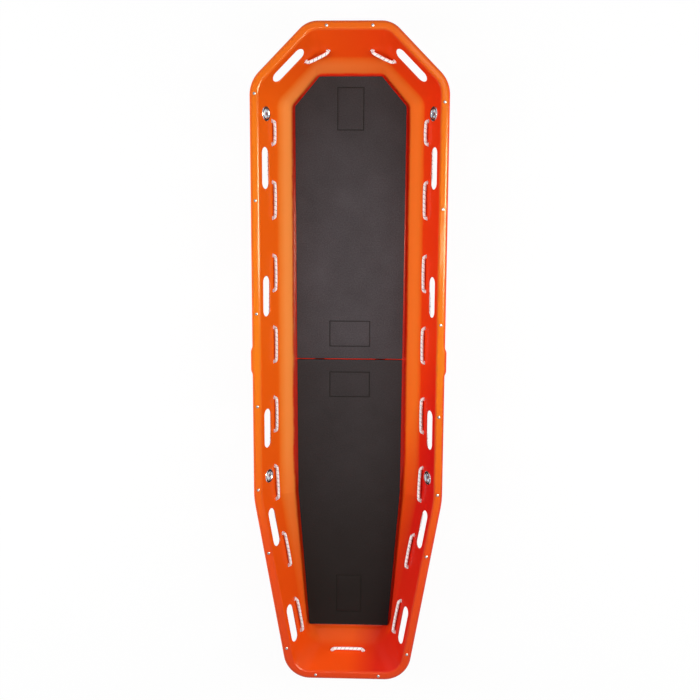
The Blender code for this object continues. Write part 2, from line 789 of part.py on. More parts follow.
def rope_route():
    """The centre line of the grab line, from inside its joining sleeve round to the same place."""
    line = WallLine(ROPE_Z)
    holes = rope_holes(line)
    points = []

    def inside(start, end):
        a, na, _ = line.frame(start)
        b, nb, _ = line.frame(end)
        length = (b - a).length
        for s, h in stretch_stations(length, ROPE_INNER_RISE, ROPE_INNER_BOW):
            normal = na.lerp(nb, s / length).normalized()
            points.append(a.lerp(b, s / length) + normal * h)

    def outside(start, end, stations):
        for s, h in stations:
            point, normal, _ = line.frame(start + s)
            points.append(point - normal * (WALL + h))

    def through(distance):
        point, normal, _ = line.frame(distance)
        points.append(point - normal * (WALL / 2))

    head_length = 2 * holes[0]
    head = stretch_stations(head_length)
    sleeve = ROPE_SLEEVE_LENGTH / 2
    full = ROPE_RISE + ROPE_BEND
    first = [(0, full), (sleeve, full)] + [(s - holes[0], h) for s, h in head[-3:]]
    last = [(s, h) for s, h in head[:3]] + [(holes[0] - sleeve, full), (holes[0], full)]
    outside(0, holes[0], first)
    for i, (start, end) in enumerate(zip(holes, holes[1:])):
        through(start)
        if i % 2 == 0:
            inside(start, end)
        else:
            outside(start, end, stretch_stations(end - start))
    through(holes[-1])
    outside(holes[-1], line.length, last)
    points[0].x = ROPE_END_GAP / 2
    points[-1].x = -ROPE_END_GAP / 2
    return points


def make_rope(material, sleeve_material):
    route = rope_route()
    curve = bpy.data.curves.new("grab_line", "CURVE")
    curve.dimensions = "3D"
    curve.bevel_depth = ROPE_RADIUS
    curve.bevel_resolution = 1
    curve.use_fill_caps = True
    spline = curve.splines.new("POLY")
    spline.points.add(len(route) - 1)
    for spot, point in zip(spline.points, route):
        spot.co = (*point, 1)
    add_object("grab_line", curve, material)
    shape = bmesh.new()
    inner = ROPE_RADIUS + GAP
    outer = inner + ROPE_SLEEVE_WALL
    half = ROPE_SLEEVE_LENGTH / 2
    profile = (
        (inner, -half),
        (inner + ROPE_SLEEVE_LIP, -half),
        (outer, -half + ROPE_SLEEVE_TAPER),
        (outer, half - ROPE_SLEEVE_TAPER),
        (inner + ROPE_SLEEVE_LIP, half),
        (inner, half),
    )
    middle = Matrix.Translation((route[0] + route[-1]) / 2)
    turned(shape, profile, ROPE_SLEEVE_SIDES, middle @ Matrix.Rotation(math.pi / 2, 4, "Y"))
    add_object("rope_joining_sleeve", finish_mesh("rope_joining_sleeve", shape), sleeve_material)


def patch_places():
    """(name, mat, middle y, width, length) of each hook-and-loop pair."""
    return (
        ("head_end", "head", PATCH_END_Y, PATCH_SHORT, PATCH_LONG),
        ("head_middle", "head", MAT_SEAM_Y + PATCH_FROM_SEAM, PATCH_LONG, PATCH_SHORT),
        ("foot_middle", "foot", MAT_SEAM_Y - PATCH_FROM_SEAM, PATCH_LONG, PATCH_SHORT),
        ("foot_end", "foot", -PATCH_END_Y, PATCH_SHORT, PATCH_LONG),
    )


def mat_outline(which, inset):
    """Half of the mat, cut at the seam, with its edge moved in by inset."""
    c = inset_corners(FLOOR_CORNERS, MAT_MARGIN + inset)

    def side_x(y):
        return c[2][0] + (c[1][0] - c[2][0]) * (y - c[2][1]) / (c[1][1] - c[2][1])

    if which == "head":
        seam = MAT_SEAM_Y + MAT_SEAM_WIDTH / 2 + inset
        right = [(side_x(seam), seam), c[1], c[0]]
    else:
        seam = MAT_SEAM_Y - MAT_SEAM_WIDTH / 2 - inset
        right = [c[3], c[2], (side_x(seam), seam)]
    return right + [(-x, y) for x, y in reversed(right)]


def make_mats(foam, hook, loop_fabric):
    bottom = FLOOR_Z + GAP
    top = bottom + MAT_THICKNESS
    levels = ((MAT_UNDERCUT, bottom), (0, bottom + MAT_UNDERCUT), (0, top - MAT_EDGE), (MAT_EDGE, top))
    pocket_top = bottom + 2 * PATCH_THICKNESS + 2 * GAP
    for which in ("head", "foot"):
        shape = bmesh.new()
        rings = [[Vector((x, y, z)) for x, y in mat_outline(which, inset)] for inset, z in levels]
        low, high = loft(shape, rings)
        cap(shape, low)
        cap(shape, high)
        mat = add_object(f"{which}_mat", finish_mesh(f"{which}_mat", shape, 20), foam)
        cuts = bmesh.new()
        for _, _, y, width, length in [p for p in patch_places() if p[1] == which]:
            room = 2 * GAP
            outline = rectangle(0, y, width + room, length + room)
            add_prism(cuts, outline, bottom - MAT_THICKNESS, pocket_top)
        boolean(mat, add_cutter(f"{which}_mat_pockets", cuts), "DIFFERENCE")
        stitches = bmesh.new()
        for _, _, y, width, length in [p for p in patch_places() if p[1] == which]:
            add_stitch_groove(stitches, y, width, length, top)
        boolean(mat, add_cutter(f"{which}_mat_stitches", stitches), "DIFFERENCE")
    for name, which, y, width, length in patch_places():
        for kind, low, fabric in (
            ("hook", bottom, hook),
            ("loop", bottom + PATCH_THICKNESS + GAP, loop_fabric),
        ):
            shape = bmesh.new()
            add_prism(shape, rectangle(0, y, width, length), low, low + PATCH_THICKNESS)
            label = f"{kind}_patch_{name}"
            add_object(label, finish_mesh(label, shape), fabric)


def add_stitch_groove(shape, y, width, length, top):
    """A shallow rectangular groove where the patch below is sewn on."""
    rings = []
    sections = (
        (STITCH_MARGIN, top - STITCH_DEPTH),
        (STITCH_MARGIN, top + MM),
        (STITCH_MARGIN + STITCH_WIDTH, top + MM),
        (STITCH_MARGIN + STITCH_WIDTH, top - STITCH_DEPTH),
    )
    for margin, z in (*sections, sections[0]):
        outline = rectangle(0, y, width - 2 * margin, length - 2 * margin)
        rings.append([Vector((px, py, z)) for px, py in outline])
    loft(shape, rings)
    bmesh.ops.remove_doubles(shape, verts=shape.verts, dist=WELD)


def main():
    clear_scene()
    plastic = make_material("moulded_polyethylene", (0.80, 0.10, 0.012), 0.42)
    steel = make_material("frame_steel", (0.55, 0.56, 0.58), 0.35, 1.0)
    zinc = make_material("plated_screws", (0.68, 0.69, 0.70), 0.3, 1.0)
    chrome = make_material("eyelet_steel", (0.62, 0.65, 0.70), 0.15, 1.0)
    line = make_material("grab_line_braid", (0.80, 0.79, 0.80), 0.8)
    shrink = make_material("shrink_sleeve", (0.02, 0.02, 0.02), 0.5)
    foam = make_material("mat_foam", (0.045, 0.037, 0.038), 0.85)
    hook = make_material("hook_tape", (0.015, 0.015, 0.016), 0.8)
    loop_fabric = make_material("loop_tape", (0.02, 0.02, 0.021), 0.9)
    rim_cuts = screw_cutter()
    sleeve_cuts = sleeve_screw_cutter()
    shell = make_shell(plastic)
    add_runners(shell)
    cut_shell(shell, rim_cuts)
    make_frame(steel, rim_cuts, sleeve_cuts)
    make_screws(zinc)
    make_eyelets(chrome)
    make_rope(line, shrink)
    make_mats(foam, hook, loop_fabric)


main()
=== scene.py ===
import math
import random

import bmesh
import bpy
from mathutils import Matrix, Vector, noise


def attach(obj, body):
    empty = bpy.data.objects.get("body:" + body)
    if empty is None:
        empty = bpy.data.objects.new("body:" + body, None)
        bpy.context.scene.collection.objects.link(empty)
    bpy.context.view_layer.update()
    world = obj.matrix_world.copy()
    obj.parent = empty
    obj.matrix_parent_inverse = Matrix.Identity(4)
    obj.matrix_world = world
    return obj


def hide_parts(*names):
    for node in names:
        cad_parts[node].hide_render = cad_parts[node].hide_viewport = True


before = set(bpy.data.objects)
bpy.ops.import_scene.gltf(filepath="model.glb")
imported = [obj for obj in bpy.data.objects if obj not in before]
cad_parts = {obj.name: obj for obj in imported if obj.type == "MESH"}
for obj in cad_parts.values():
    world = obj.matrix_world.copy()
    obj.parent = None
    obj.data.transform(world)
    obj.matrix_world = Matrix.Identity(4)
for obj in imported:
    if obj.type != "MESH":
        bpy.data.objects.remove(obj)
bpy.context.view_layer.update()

MM = 0.001
GAP = 0.3 * MM
BASKET = "basket"


# Sizes, as in the solids

RIM_TOP = 187.5 * MM
WALL = 4.5 * MM
HEAD_END = 1092 * MM
FOOT_END = -1092 * MM
RIM_HALF_WIDTH = 316 * MM
RIM_CORNERS = (
    (133 * MM, HEAD_END),
    (RIM_HALF_WIDTH, 908 * MM),
    (RIM_HALF_WIDTH, -452 * MM),
    (205 * MM, FOOT_END),
)
RIM_RADII = (80 * MM, 100 * MM, 300 * MM, 92 * MM)
RIM_ROUND = 12 * MM
RIM_FLAT = 9 * MM
LIP_DROP = 30 * MM
LIP_BAND = 9 * MM
LIP_EDGE_ROUND = 1.3 * MM
RIM_INNER_TURN = math.radians(64)
RIM_OUTER_STEPS = 8
RIM_INNER_STEPS = 7

CREASE_Z = 85 * MM
CREASE_CORNERS = (
    (104 * MM, 995 * MM),
    (239.5 * MM, 859.5 * MM),
    (239.5 * MM, -445.5 * MM),
    (142.5 * MM, -1007 * MM),
)
CREASE_RADII = (45 * MM, 60 * MM, 260 * MM, 70 * MM)
CREASE_REACH = 18 * MM
CREASE_STEPS = 7
WALL_TOP_SHARE = 0.12  # where the first ring under the rim lies, down the wall

RUNNER_HEIGHT = 26.5 * MM
FLOOR_Z = RUNNER_HEIGHT + WALL
FLOOR_CORNERS = (
    (107 * MM, 952 * MM),
    (192.5 * MM, 851 * MM),
    (186.5 * MM, -463 * MM),
    (148 * MM, -965.5 * MM),
)
# The third radius is larger than the solid's, which moves that corner by under 1 mm.
FLOOR_RADII = (26 * MM, 30 * MM, 300 * MM, 36 * MM)
FLOOR_FILLET = 9 * MM
FLOOR_STEPS = 5
CORNER_STEPS = (12, 12, 8, 16)
SIDE_HEAD_POINTS = range(780, 80, -60)  # in mm, on each side of the swell
SIDE_FOOT_POINTS = range(-60, -380, -60)

RUNNER_X = 105 * MM
RUNNER_WIDTH = 44 * MM
RUNNER_DRAFT = 6 * MM
RUNNER_RAMP = 34 * MM
RUNNER_HEAD = 800 * MM
RUNNER_FOOT = -850 * MM
RUNNER_ROUND = 7 * MM
RUNNER_SOLE_ROUND = 4 * MM
RUNNER_ROOT_ROUND = 5 * MM
GROOVE_ROUND = 2 * MM

TUBE_RADIUS = 11 * MM
TUBE_WALL = 2 * MM
TUBE_END_GAP = 2 * MM
TUBE_INSET = 16.5 * MM
TUBE_SIDES = 24
SLEEVE_WALL = 1.4 * MM
SLEEVE_RADIUS = (TUBE_RADIUS + GAP) / math.cos(math.pi / 12) + SLEEVE_WALL
SLEEVE_LENGTH = 56 * MM
SLEEVE_Y = 18 * MM
TUBE_Z = RIM_TOP - WALL - 2 * GAP - SLEEVE_RADIUS
BULGE = 5 * MM
BULGE_FLAT = SLEEVE_LENGTH / 2 + 2 * MM
BULGE_RAMP = 18 * MM
BULGE_STEPS = 6

SCREW_HEAD_RADIUS = 4.6 * MM
SCREW_HEAD_HEIGHT = 2.5 * MM
SCREW_SHANK_RADIUS = 2.1 * MM
SCREW_HOLE_GAP = 0.4 * MM
SCREW_REACH = 4.5 * MM
SCREW_TIP = 0.4 * MM
SCREW_POINT = 2 * MM
SCREW_CROWN = 0.7  # a share of the head's height
# Each level of the cross: its reach, half the width of its arms, and its height over the head.
SCREW_RECESS = ((2.3 * MM, 0.42 * MM, 1 * MM), (2.2 * MM, 0.4 * MM, 0), (1.2 * MM, 0.25 * MM, -1.5 * MM))
THREAD_TOP = 1.5 * MM
THREAD_PITCH = 1.4 * MM
THREAD_ROOT = 0.82  # a share of the shank's radius
RIM_SCREW_HEAD_X = 72 * MM
RIM_SCREW_FOOT_X = 108 * MM
RIM_SCREW_RIGHT_Y = (844 * MM, 512 * MM, 141 * MM, -164 * MM, -429 * MM, -644 * MM, -995 * MM)
RIM_SCREW_LEFT_Y = (870 * MM, 537 * MM, 173 * MM, -135 * MM, -420 * MM, -640 * MM, -981 * MM)
SLEEVE_SCREW_FROM_MIDDLE = 15 * MM

SLOT_LENGTH = 133 * MM
SLOT_WIDTH = 40 * MM
SLOT_Z = 150 * MM
SLOT_Y = (960 * MM, 642 * MM, 228 * MM, -216 * MM, -561 * MM, -906 * MM)
SLOT_ROUND = 1.9 * MM
CUT_DEPTH = 20 * MM

EYELET_Z = 146 * MM
EYELET_Y = (813 * MM, -382 * MM)
EYELET_BORE = 14 * MM
EYELET_BARREL_WALL = 2 * MM
EYELET_FLANGE = 23.5 * MM
EYELET_FLANGE_THICKNESS = 2.6 * MM
EYELET_PROJECTION = 5 * MM
EYELET_MOUTH = 2.6 * MM
EYELET_SLOPE = 2.2 * MM
EYELET_EDGE_ROUND = 1 * MM
COLLAR_FLANGE = 22 * MM
COLLAR_FLANGE_THICKNESS = 2.2 * MM
COLLAR_NECK = 18.5 * MM

ROPE_RADIUS = 5 * MM
ROPE_HOLE = 6.8 * MM
ROPE_HOLE_ROUND = 1.5 * MM
ROPE_Z = 110 * MM
ROPE_HEAD_X = 71 * MM
ROPE_DIAGONAL_Y = 979 * MM
ROPE_SHORT_PAIR = (794 * MM, 720 * MM)
ROPE_FIRST_MIDDLE = 541 * MM
ROPE_PITCH = 239 * MM
ROPE_HALF_STRETCH = 58 * MM
ROPE_STRETCHES = 7
ROPE_FOOT_X = 54 * MM
ROPE_BEND = 8.5 * MM
ROPE_BEND_ANGLES = (16, 46, 80)
ROPE_RISE = 1 * MM
ROPE_BOW = 2 * MM
ROPE_BOW_STEP = 45 * MM
ROPE_INNER_RISE = -1 * MM
ROPE_INNER_BOW = 1 * MM
ROPE_END_GAP = 1 * MM
ROPE_SIDES = 12
ROPE_STEP = 2.6 * MM
TRACER_PITCH = 14 * MM
ROPE_SLEEVE_LENGTH = 56 * MM
ROPE_SLEEVE_WALL = 1.6 * MM
ROPE_SLEEVE_END = 2 * MM
ROPE_SLEEVE_RIPPLE = 0.25 * MM
ROPE_SLEEVE_RIPPLES = 12
ROPE_SLEEVE_PITCH = 4 * MM

MAT_THICKNESS = 15 * MM
MAT_MARGIN = 8.5 * MM
MAT_SEAM_Y = 5 * MM
MAT_SEAM_WIDTH = 4 * MM
MAT_UNDERCUT = 7 * MM
MAT_ROUND = 2.2 * MM
MAT_CORNER = 3 * MM
MAT_GRID = 16.0  # in mm, between the lines that divide its top
PATCH_LONG = 142 * MM
PATCH_SHORT = 92 * MM
PATCH_THICKNESS = 1.8 * MM
PATCH_FROM_SEAM = 88 * MM
PATCH_END_Y = 840 * MM
PATCH_CORNER = 4 * MM
PATCH_LOW_EDGE = 0.4 * MM
PATCH_TOP_EDGE = 0.5 * MM
STITCH_MARGIN = 3 * MM
STITCH_PITCH = 6 * MM
STITCH_BALL = 0.6 * MM
STITCH_SHAPE = (3.9, 1.4, 0.8, 1)  # the ball drawn out along the seam and pressed flat
CHANNEL_DEPTH = 1.5 * MM
CHANNEL_REACH = 2.4 * MM
CHANNEL_FALL = 1.3  # the power that rounds its edges
CHANNEL_SHADE = 2 * MM
CHANNEL_BAND = 4 * MM
CHANNEL_LINES = (-2.4, -1.1, 0, 1.1, 2.4)  # in mm, off the line of stitching
SAG_DEPTH = 0.5 * MM
SAG_REACH = 9 * MM
SWELLINGS = 0.35 * MM
SWELLINGS_PER_M = 9
SWELLING_LAYERS = {"head": 3.7, "foot": 8.1}


# Materials


def colour(code):
    """An sRGB hex value as the linear colour that a socket takes."""
    parts = [int(code[i : i + 2], 16) / 255 for i in (1, 3, 5)]
    linear = [c / 12.92 if c <= 0.04045 else ((c + 0.055) / 1.055) ** 2.4 for c in parts]
    return (*linear, 1.0)


def add_node(material, kind, settings=None, inputs=None):
    """Adds a node with its own settings. An input is a value, or another node's output to link."""
    tree = material.node_tree
    node = tree.nodes.new(kind)
    for name, value in (settings or {}).items():
        if name == "stops":
            ramp = node.color_ramp
            while len(ramp.elements) < len(value):
                ramp.elements.new(0.5)
            for element, (place, shade) in zip(ramp.elements, value):
                element.position = place
                element.color = shade
        else:
            setattr(node, name, value)
    for name, value in (inputs or {}).items():
        if isinstance(value, bpy.types.NodeSocket):
            tree.links.new(value, node.inputs[name])
        else:
            node.inputs[name].default_value = value
    return node


def new_material(name, **sockets):
    """An empty tree with a Principled shader and an output. Returns the material and the shader."""
    material = bpy.data.materials.new(name)
    material.use_nodes = True
    material.node_tree.nodes.clear()
    shader = add_node(material, "ShaderNodeBsdfPrincipled")
    add_node(material, "ShaderNodeOutputMaterial", inputs={"Surface": shader.outputs[0]})
    for socket, value in sockets.items():
        shader.inputs[socket.replace("_", " ")].default_value = value
    return material, shader


def grey(value):
    return (value, value, value, 1.0)


def moulded_polyethylene():
    # Rotomoulded polyethylene, red-orange, with light and shade painted into its colour. Faces that look
    # down are a plain deep red-orange. Up the height, painted light makes the flanks pale amber with a
    # painted highlight streak, and painted shade makes the steep walls and the floor strip beside the mat
    # deep red.
    # Faces that look up are painted lighter, most of all the rim and the flanks, and more so at the head
    # and on the left side. Painted shade makes the right side near the foot a deep crimson, the rim redder
    # where it looks to the left and to the foot, and the end walls and the foot end darker. It has soft
    # mottling 70 mm across, faint orange peel of 2.4 mm, paler scuffs of 11 mm on the rim, and a rim that
    # hands have polished. Stops are shares of 200 mm up, or of 2.2 m along.
    made, shader = new_material("rotomoulded_polyethylene", IOR=1.51, Specular_IOR_Level=0.16)
    coordinates = add_node(made, "ShaderNodeTexCoord")
    place = coordinates.outputs["Object"]
    mottling = add_node(
        made,
        "ShaderNodeTexNoise",
        inputs={"Vector": place, "Scale": 14.0, "Detail": 4.0, "Roughness": 0.6},
    )
    parts = add_node(made, "ShaderNodeSeparateXYZ", inputs={"Vector": place})
    uneven = add_node(
        made,
        "ShaderNodeMath",
        {"operation": "MULTIPLY_ADD"},
        {0: mottling.outputs["Fac"], 1: 0.006, 2: parts.outputs["Z"]},
    )
    height = add_node(
        made,
        "ShaderNodeMapRange",
        inputs={"Value": uneven.outputs[0], "From Min": 0.003, "From Max": 0.203},
    )
    # Painted light: the height ramp for the lit side, with pale flanks and a painted highlight streak on
    # them, and the floor strip beside the mat deep red as painted shade.
    painted_lit_ramp = add_node(
        made,
        "ShaderNodeValToRGB",
        {
            "stops": (
                (0.165, colour("#F6280C")),
                (0.19, colour("#FF9A48")),
                (0.30, colour("#FF9846")),
                (0.39, colour("#FB842C")),
                (0.45, colour("#F8680E")),
            )
        },
        {"Fac": height.outputs["Result"]},
    )
    # Painted shade: the height ramp for the shaded side, with less pale flanks and deep red steep walls.
    painted_shade_ramp = add_node(
        made,
        "ShaderNodeValToRGB",
        {
            "stops": (
                (0.165, colour("#F6240C")),
                (0.19, colour("#FC6612")),
                (0.36, colour("#F87020")),
                (0.42, colour("#F6601A")),
                (0.47, colour("#F4300E")),
                (0.90, colour("#F0260C")),
            )
        },
        {"Fac": height.outputs["Result"]},
    )
    # Painted shade: the colour goes from the lit ramp to the shaded one towards the right side and towards
    # the foot.
    across = add_node(
        made,
        "ShaderNodeMapRange",
        inputs={
            "Value": parts.outputs["X"],
            "From Min": -0.22,
            "From Max": 0.26,
            "To Min": 0.0,
            "To Max": 0.85,
        },
    )
    shaded = add_node(
        made,
        "ShaderNodeMapRange",
        inputs={
            "Value": parts.outputs["Y"],
            "From Min": 0.1,
            "From Max": -0.7,
            "To Min": 0.0,
            "To Max": 0.32,
        },
    )
    painted_shade_share = add_node(
        made,
        "ShaderNodeMath",
        {"operation": "ADD", "use_clamp": True},
        {0: across.outputs["Result"], 1: shaded.outputs["Result"]},
    )
    painted_light_and_shade = add_node(
        made,
        "ShaderNodeMix",
        {"data_type": "RGBA"},
        {"Factor": painted_shade_share.outputs[0], "A": painted_lit_ramp.outputs["Color"], "B": painted_shade_ramp.outputs["Color"]},
    )
    length = add_node(
        made,
        "ShaderNodeMapRange",
        inputs={"Value": parts.outputs["Y"], "From Min": -1.1, "From Max": 1.1},
    )
    # Painted light on the rim: paler amber at the head, redder towards the foot.
    rim_painted_light = add_node(
        made,
        "ShaderNodeValToRGB",
        {
            "stops": (
                (0.02, colour("#E0400A")),
                (0.22, colour("#E64A0A")),
                (0.36, colour("#EA6808")),
                (0.50, colour("#EE7808")),
                (0.84, colour("#EE7606")),
                (0.97, colour("#EC6606")),
            )
        },
        {"Fac": length.outputs["Result"]},
    )
    # Painted shade at both end walls, mixed towards dark red.
    painted_end_shade = add_node(
        made,
        "ShaderNodeValToRGB",
        {
            "stops": (
                (0.01, grey(0.30)),
                (0.04, grey(0.16)),
                (0.09, grey(0.0)),
                (0.88, grey(0.0)),
                (0.94, grey(0.34)),
                (0.98, grey(0.38)),
            )
        },
        {"Fac": length.outputs["Result"]},
    )
    with_end_shade = add_node(
        made,
        "ShaderNodeMix",
        {"data_type": "RGBA"},
        {"Factor": painted_end_shade.outputs["Color"], "A": painted_light_and_shade.outputs["Result"], "B": colour("#C01C0A")},
    )
    # Painted shade towards the foot: from 0.3 m to 0.8 m footwards of the middle, the colour is mixed
    # towards a plain orange.
    painted_foot_shade = add_node(
        made,
        "ShaderNodeMapRange",
        inputs={
            "Value": parts.outputs["Y"],
            "From Min": -0.3,
            "From Max": -0.8,
            "To Min": 0.0,
            "To Max": 0.75,
        },
    )
    fresh = add_node(
        made,
        "ShaderNodeMix",
        {"data_type": "RGBA"},
        {"Factor": painted_foot_shade.outputs["Result"], "A": with_end_shade.outputs["Result"], "B": colour("#F2520E")},
    )
    # Painted shade on the right side near the foot, mixed towards crimson.
    corner = add_node(
        made, "ShaderNodeVectorMath", {"operation": "DOT_PRODUCT"}, {0: place, 1: (4.0, -1.0, 0.0)}
    )
    painted_crimson_shade = add_node(
        made,
        "ShaderNodeMapRange",
        inputs={
            "Value": corner.outputs["Value"],
            "From Min": 1.05,
            "From Max": 1.45,
            "To Min": 0.0,
            "To Max": 0.75,
        },
    )
    with_crimson_shade = add_node(
        made,
        "ShaderNodeMix",
        {"data_type": "RGBA"},
        {"Factor": painted_crimson_shade.outputs["Result"], "A": fresh.outputs["Result"], "B": colour("#D00A16")},
    )
    # Painted shade on the rim where its faces look to the left and to the foot, away from the light.
    away_from_light = add_node(
        made,
        "ShaderNodeVectorMath",
        {"operation": "DOT_PRODUCT"},
        {0: coordinates.outputs["Normal"], 1: (-0.8, -0.6, 0.0)},
    )
    painted_rim_shade = add_node(
        made,
        "ShaderNodeMapRange",
        inputs={
            "Value": away_from_light.outputs["Value"],
            "From Min": 0.05,
            "From Max": 0.65,
            "To Min": 0.0,
            "To Max": 0.7,
        },
    )
    rim_light_and_shade = add_node(
        made,
        "ShaderNodeMix",
        {"data_type": "RGBA"},
        {"Factor": painted_rim_shade.outputs["Result"], "A": rim_painted_light.outputs["Color"], "B": colour("#B8340A")},
    )
    on_rim = add_node(
        made,
        "ShaderNodeMapRange",
        inputs={"Value": uneven.outputs[0], "From Min": 0.185, "From Max": 0.190},
    )
    with_painted_rim = add_node(
        made,
        "ShaderNodeMix",
        {"data_type": "RGBA"},
        {
            "Factor": on_rim.outputs["Result"],
            "A": with_crimson_shade.outputs["Result"],
            "B": rim_light_and_shade.outputs["Result"],
        },
    )
    facing = add_node(made, "ShaderNodeSeparateXYZ", inputs={"Vector": coordinates.outputs["Normal"]})
    # Painted light: faces that look up take the painted colours above, and faces that look down a plain
    # deep red-orange.
    upwards = add_node(
        made,
        "ShaderNodeMapRange",
        inputs={"Value": facing.outputs["Z"], "From Min": 0.0, "From Max": 0.38},
    )
    painted_top_light = add_node(
        made,
        "ShaderNodeMix",
        {"data_type": "RGBA"},
        {"Factor": upwards.outputs["Result"], "A": colour("#EE460C"), "B": with_painted_rim.outputs["Result"]},
    )
    fine = add_node(
        made,
        "ShaderNodeTexNoise",
        inputs={"Vector": place, "Scale": 420.0, "Detail": 3.0, "Roughness": 0.55},
    )
    scuffs = add_node(
        made,
        "ShaderNodeTexNoise",
        inputs={"Vector": place, "Scale": 90.0, "Detail": 8.0, "Roughness": 0.75},
    )
    worn = add_node(
        made,
        "ShaderNodeValToRGB",
        {"stops": ((0.60, grey(0.0)), (0.72, grey(1.0)))},
        {"Fac": scuffs.outputs["Fac"]},
    )
    near_rim = add_node(
        made,
        "ShaderNodeMapRange",
        inputs={
            "Value": parts.outputs["Z"],
            "From Min": 0.180,
            "From Max": 0.188,
            "To Min": 0.0,
            "To Max": 0.1,
        },
    )
    wear = add_node(
        made,
        "ShaderNodeMath",
        {"operation": "MULTIPLY"},
        {0: worn.outputs["Color"], 1: near_rim.outputs["Result"]},
    )
    skin = add_node(
        made,
        "ShaderNodeMix",
        {"data_type": "RGBA"},
        {"Factor": wear.outputs[0], "A": painted_top_light.outputs["Result"], "B": colour("#FFA060")},
    )
    made.node_tree.links.new(skin.outputs["Result"], shader.inputs["Base Color"])
    polish = add_node(
        made,
        "ShaderNodeMapRange",
        inputs={
            "Value": parts.outputs["Z"],
            "From Min": 0.176,
            "From Max": 0.186,
            "To Min": 0.17,
            "To Max": 0.08,
        },
    )
    gloss = add_node(
        made,
        "ShaderNodeMath",
        {"operation": "MULTIPLY_ADD"},
        {0: scuffs.outputs["Fac"], 1: 0.12, 2: polish.outputs["Result"]},
    )
    made.node_tree.links.new(gloss.outputs[0], shader.inputs["Roughness"])
    peel = add_node(
        made,
        "ShaderNodeBump",
        inputs={"Strength": 0.07, "Distance": 0.4 * MM, "Height": fine.outputs["Fac"]},
    )
    made.node_tree.links.new(peel.outputs["Normal"], shader.inputs["Normal"])
    return made


def closed_cell_foam():
    # Closed-cell polyethylene foam board: charcoal, matte, with a pebbled skin of cells about 2 mm across,
    # drawn at 3 mm so that they show. Painted shade darkens the foot half, most of all at its end, and the
    # head half towards its end, with a step at the seam. Painted shade also darkens the sewn channels. Its
    # stops are shares of 2 m along.
    made, shader = new_material("closed_cell_foam", Roughness=0.88, IOR=1.45, Specular_IOR_Level=0.12)
    place = add_node(made, "ShaderNodeTexCoord").outputs["Object"]
    cells = add_node(made, "ShaderNodeTexVoronoi", inputs={"Vector": place, "Scale": 330.0})
    grain = add_node(
        made,
        "ShaderNodeTexNoise",
        inputs={"Vector": place, "Scale": 240.0, "Detail": 6.0, "Roughness": 0.7},
    )
    cloud = add_node(
        made,
        "ShaderNodeTexNoise",
        inputs={"Vector": place, "Scale": 9.0, "Detail": 3.0, "Roughness": 0.5},
    )
    mixed = add_node(
        made,
        "ShaderNodeMix",
        {"data_type": "FLOAT"},
        {"Factor": 0.3, "A": grain.outputs["Fac"], "B": cloud.outputs["Fac"]},
    )
    tone = add_node(
        made,
        "ShaderNodeValToRGB",
        {"stops": ((0.30, colour("#373336")), (0.72, colour("#514C50")))},
        {"Fac": mixed.outputs["Result"]},
    )
    along = add_node(made, "ShaderNodeSeparateXYZ", inputs={"Vector": place})
    length = add_node(
        made,
        "ShaderNodeMapRange",
        inputs={"Value": along.outputs["Y"], "From Min": -1.0, "From Max": 1.0},
    )
    # Painted shade along the mat: darker in the foot half and towards both ends.
    painted_mat_shade = add_node(
        made,
        "ShaderNodeValToRGB",
        {
            "stops": (
                (0.08, grey(0.88)),
                (0.20, grey(0.79)),
                (0.32, grey(0.64)),
                (0.499, grey(0.44)),
                (0.506, grey(0.08)),
                (0.64, grey(0.0)),
                (0.76, grey(0.05)),
                (0.94, grey(0.45)),
            )
        },
        {"Fac": length.outputs["Result"]},
    )
    with_mat_shade = add_node(
        made,
        "ShaderNodeMix",
        {"data_type": "RGBA"},
        {"Factor": painted_mat_shade.outputs["Color"], "A": tone.outputs["Color"], "B": colour("#140E0E")},
    )
    # Painted shade in the sewn channels, from the attribute that the mat carries.
    channel = add_node(made, "ShaderNodeAttribute", {"attribute_name": "sewn_channel"})
    with_channel_shade = add_node(
        made,
        "ShaderNodeMix",
        {"data_type": "RGBA"},
        {"Factor": channel.outputs["Fac"], "A": with_mat_shade.outputs["Result"], "B": colour("#0A0808")},
    )
    made.node_tree.links.new(with_channel_shade.outputs["Result"], shader.inputs["Base Color"])
    pebble = add_node(
        made,
        "ShaderNodeBump",
        inputs={"Strength": 0.35, "Distance": 0.5 * MM, "Height": cells.outputs["Distance"]},
    )
    made.node_tree.links.new(pebble.outputs["Normal"], shader.inputs["Normal"])
    return made


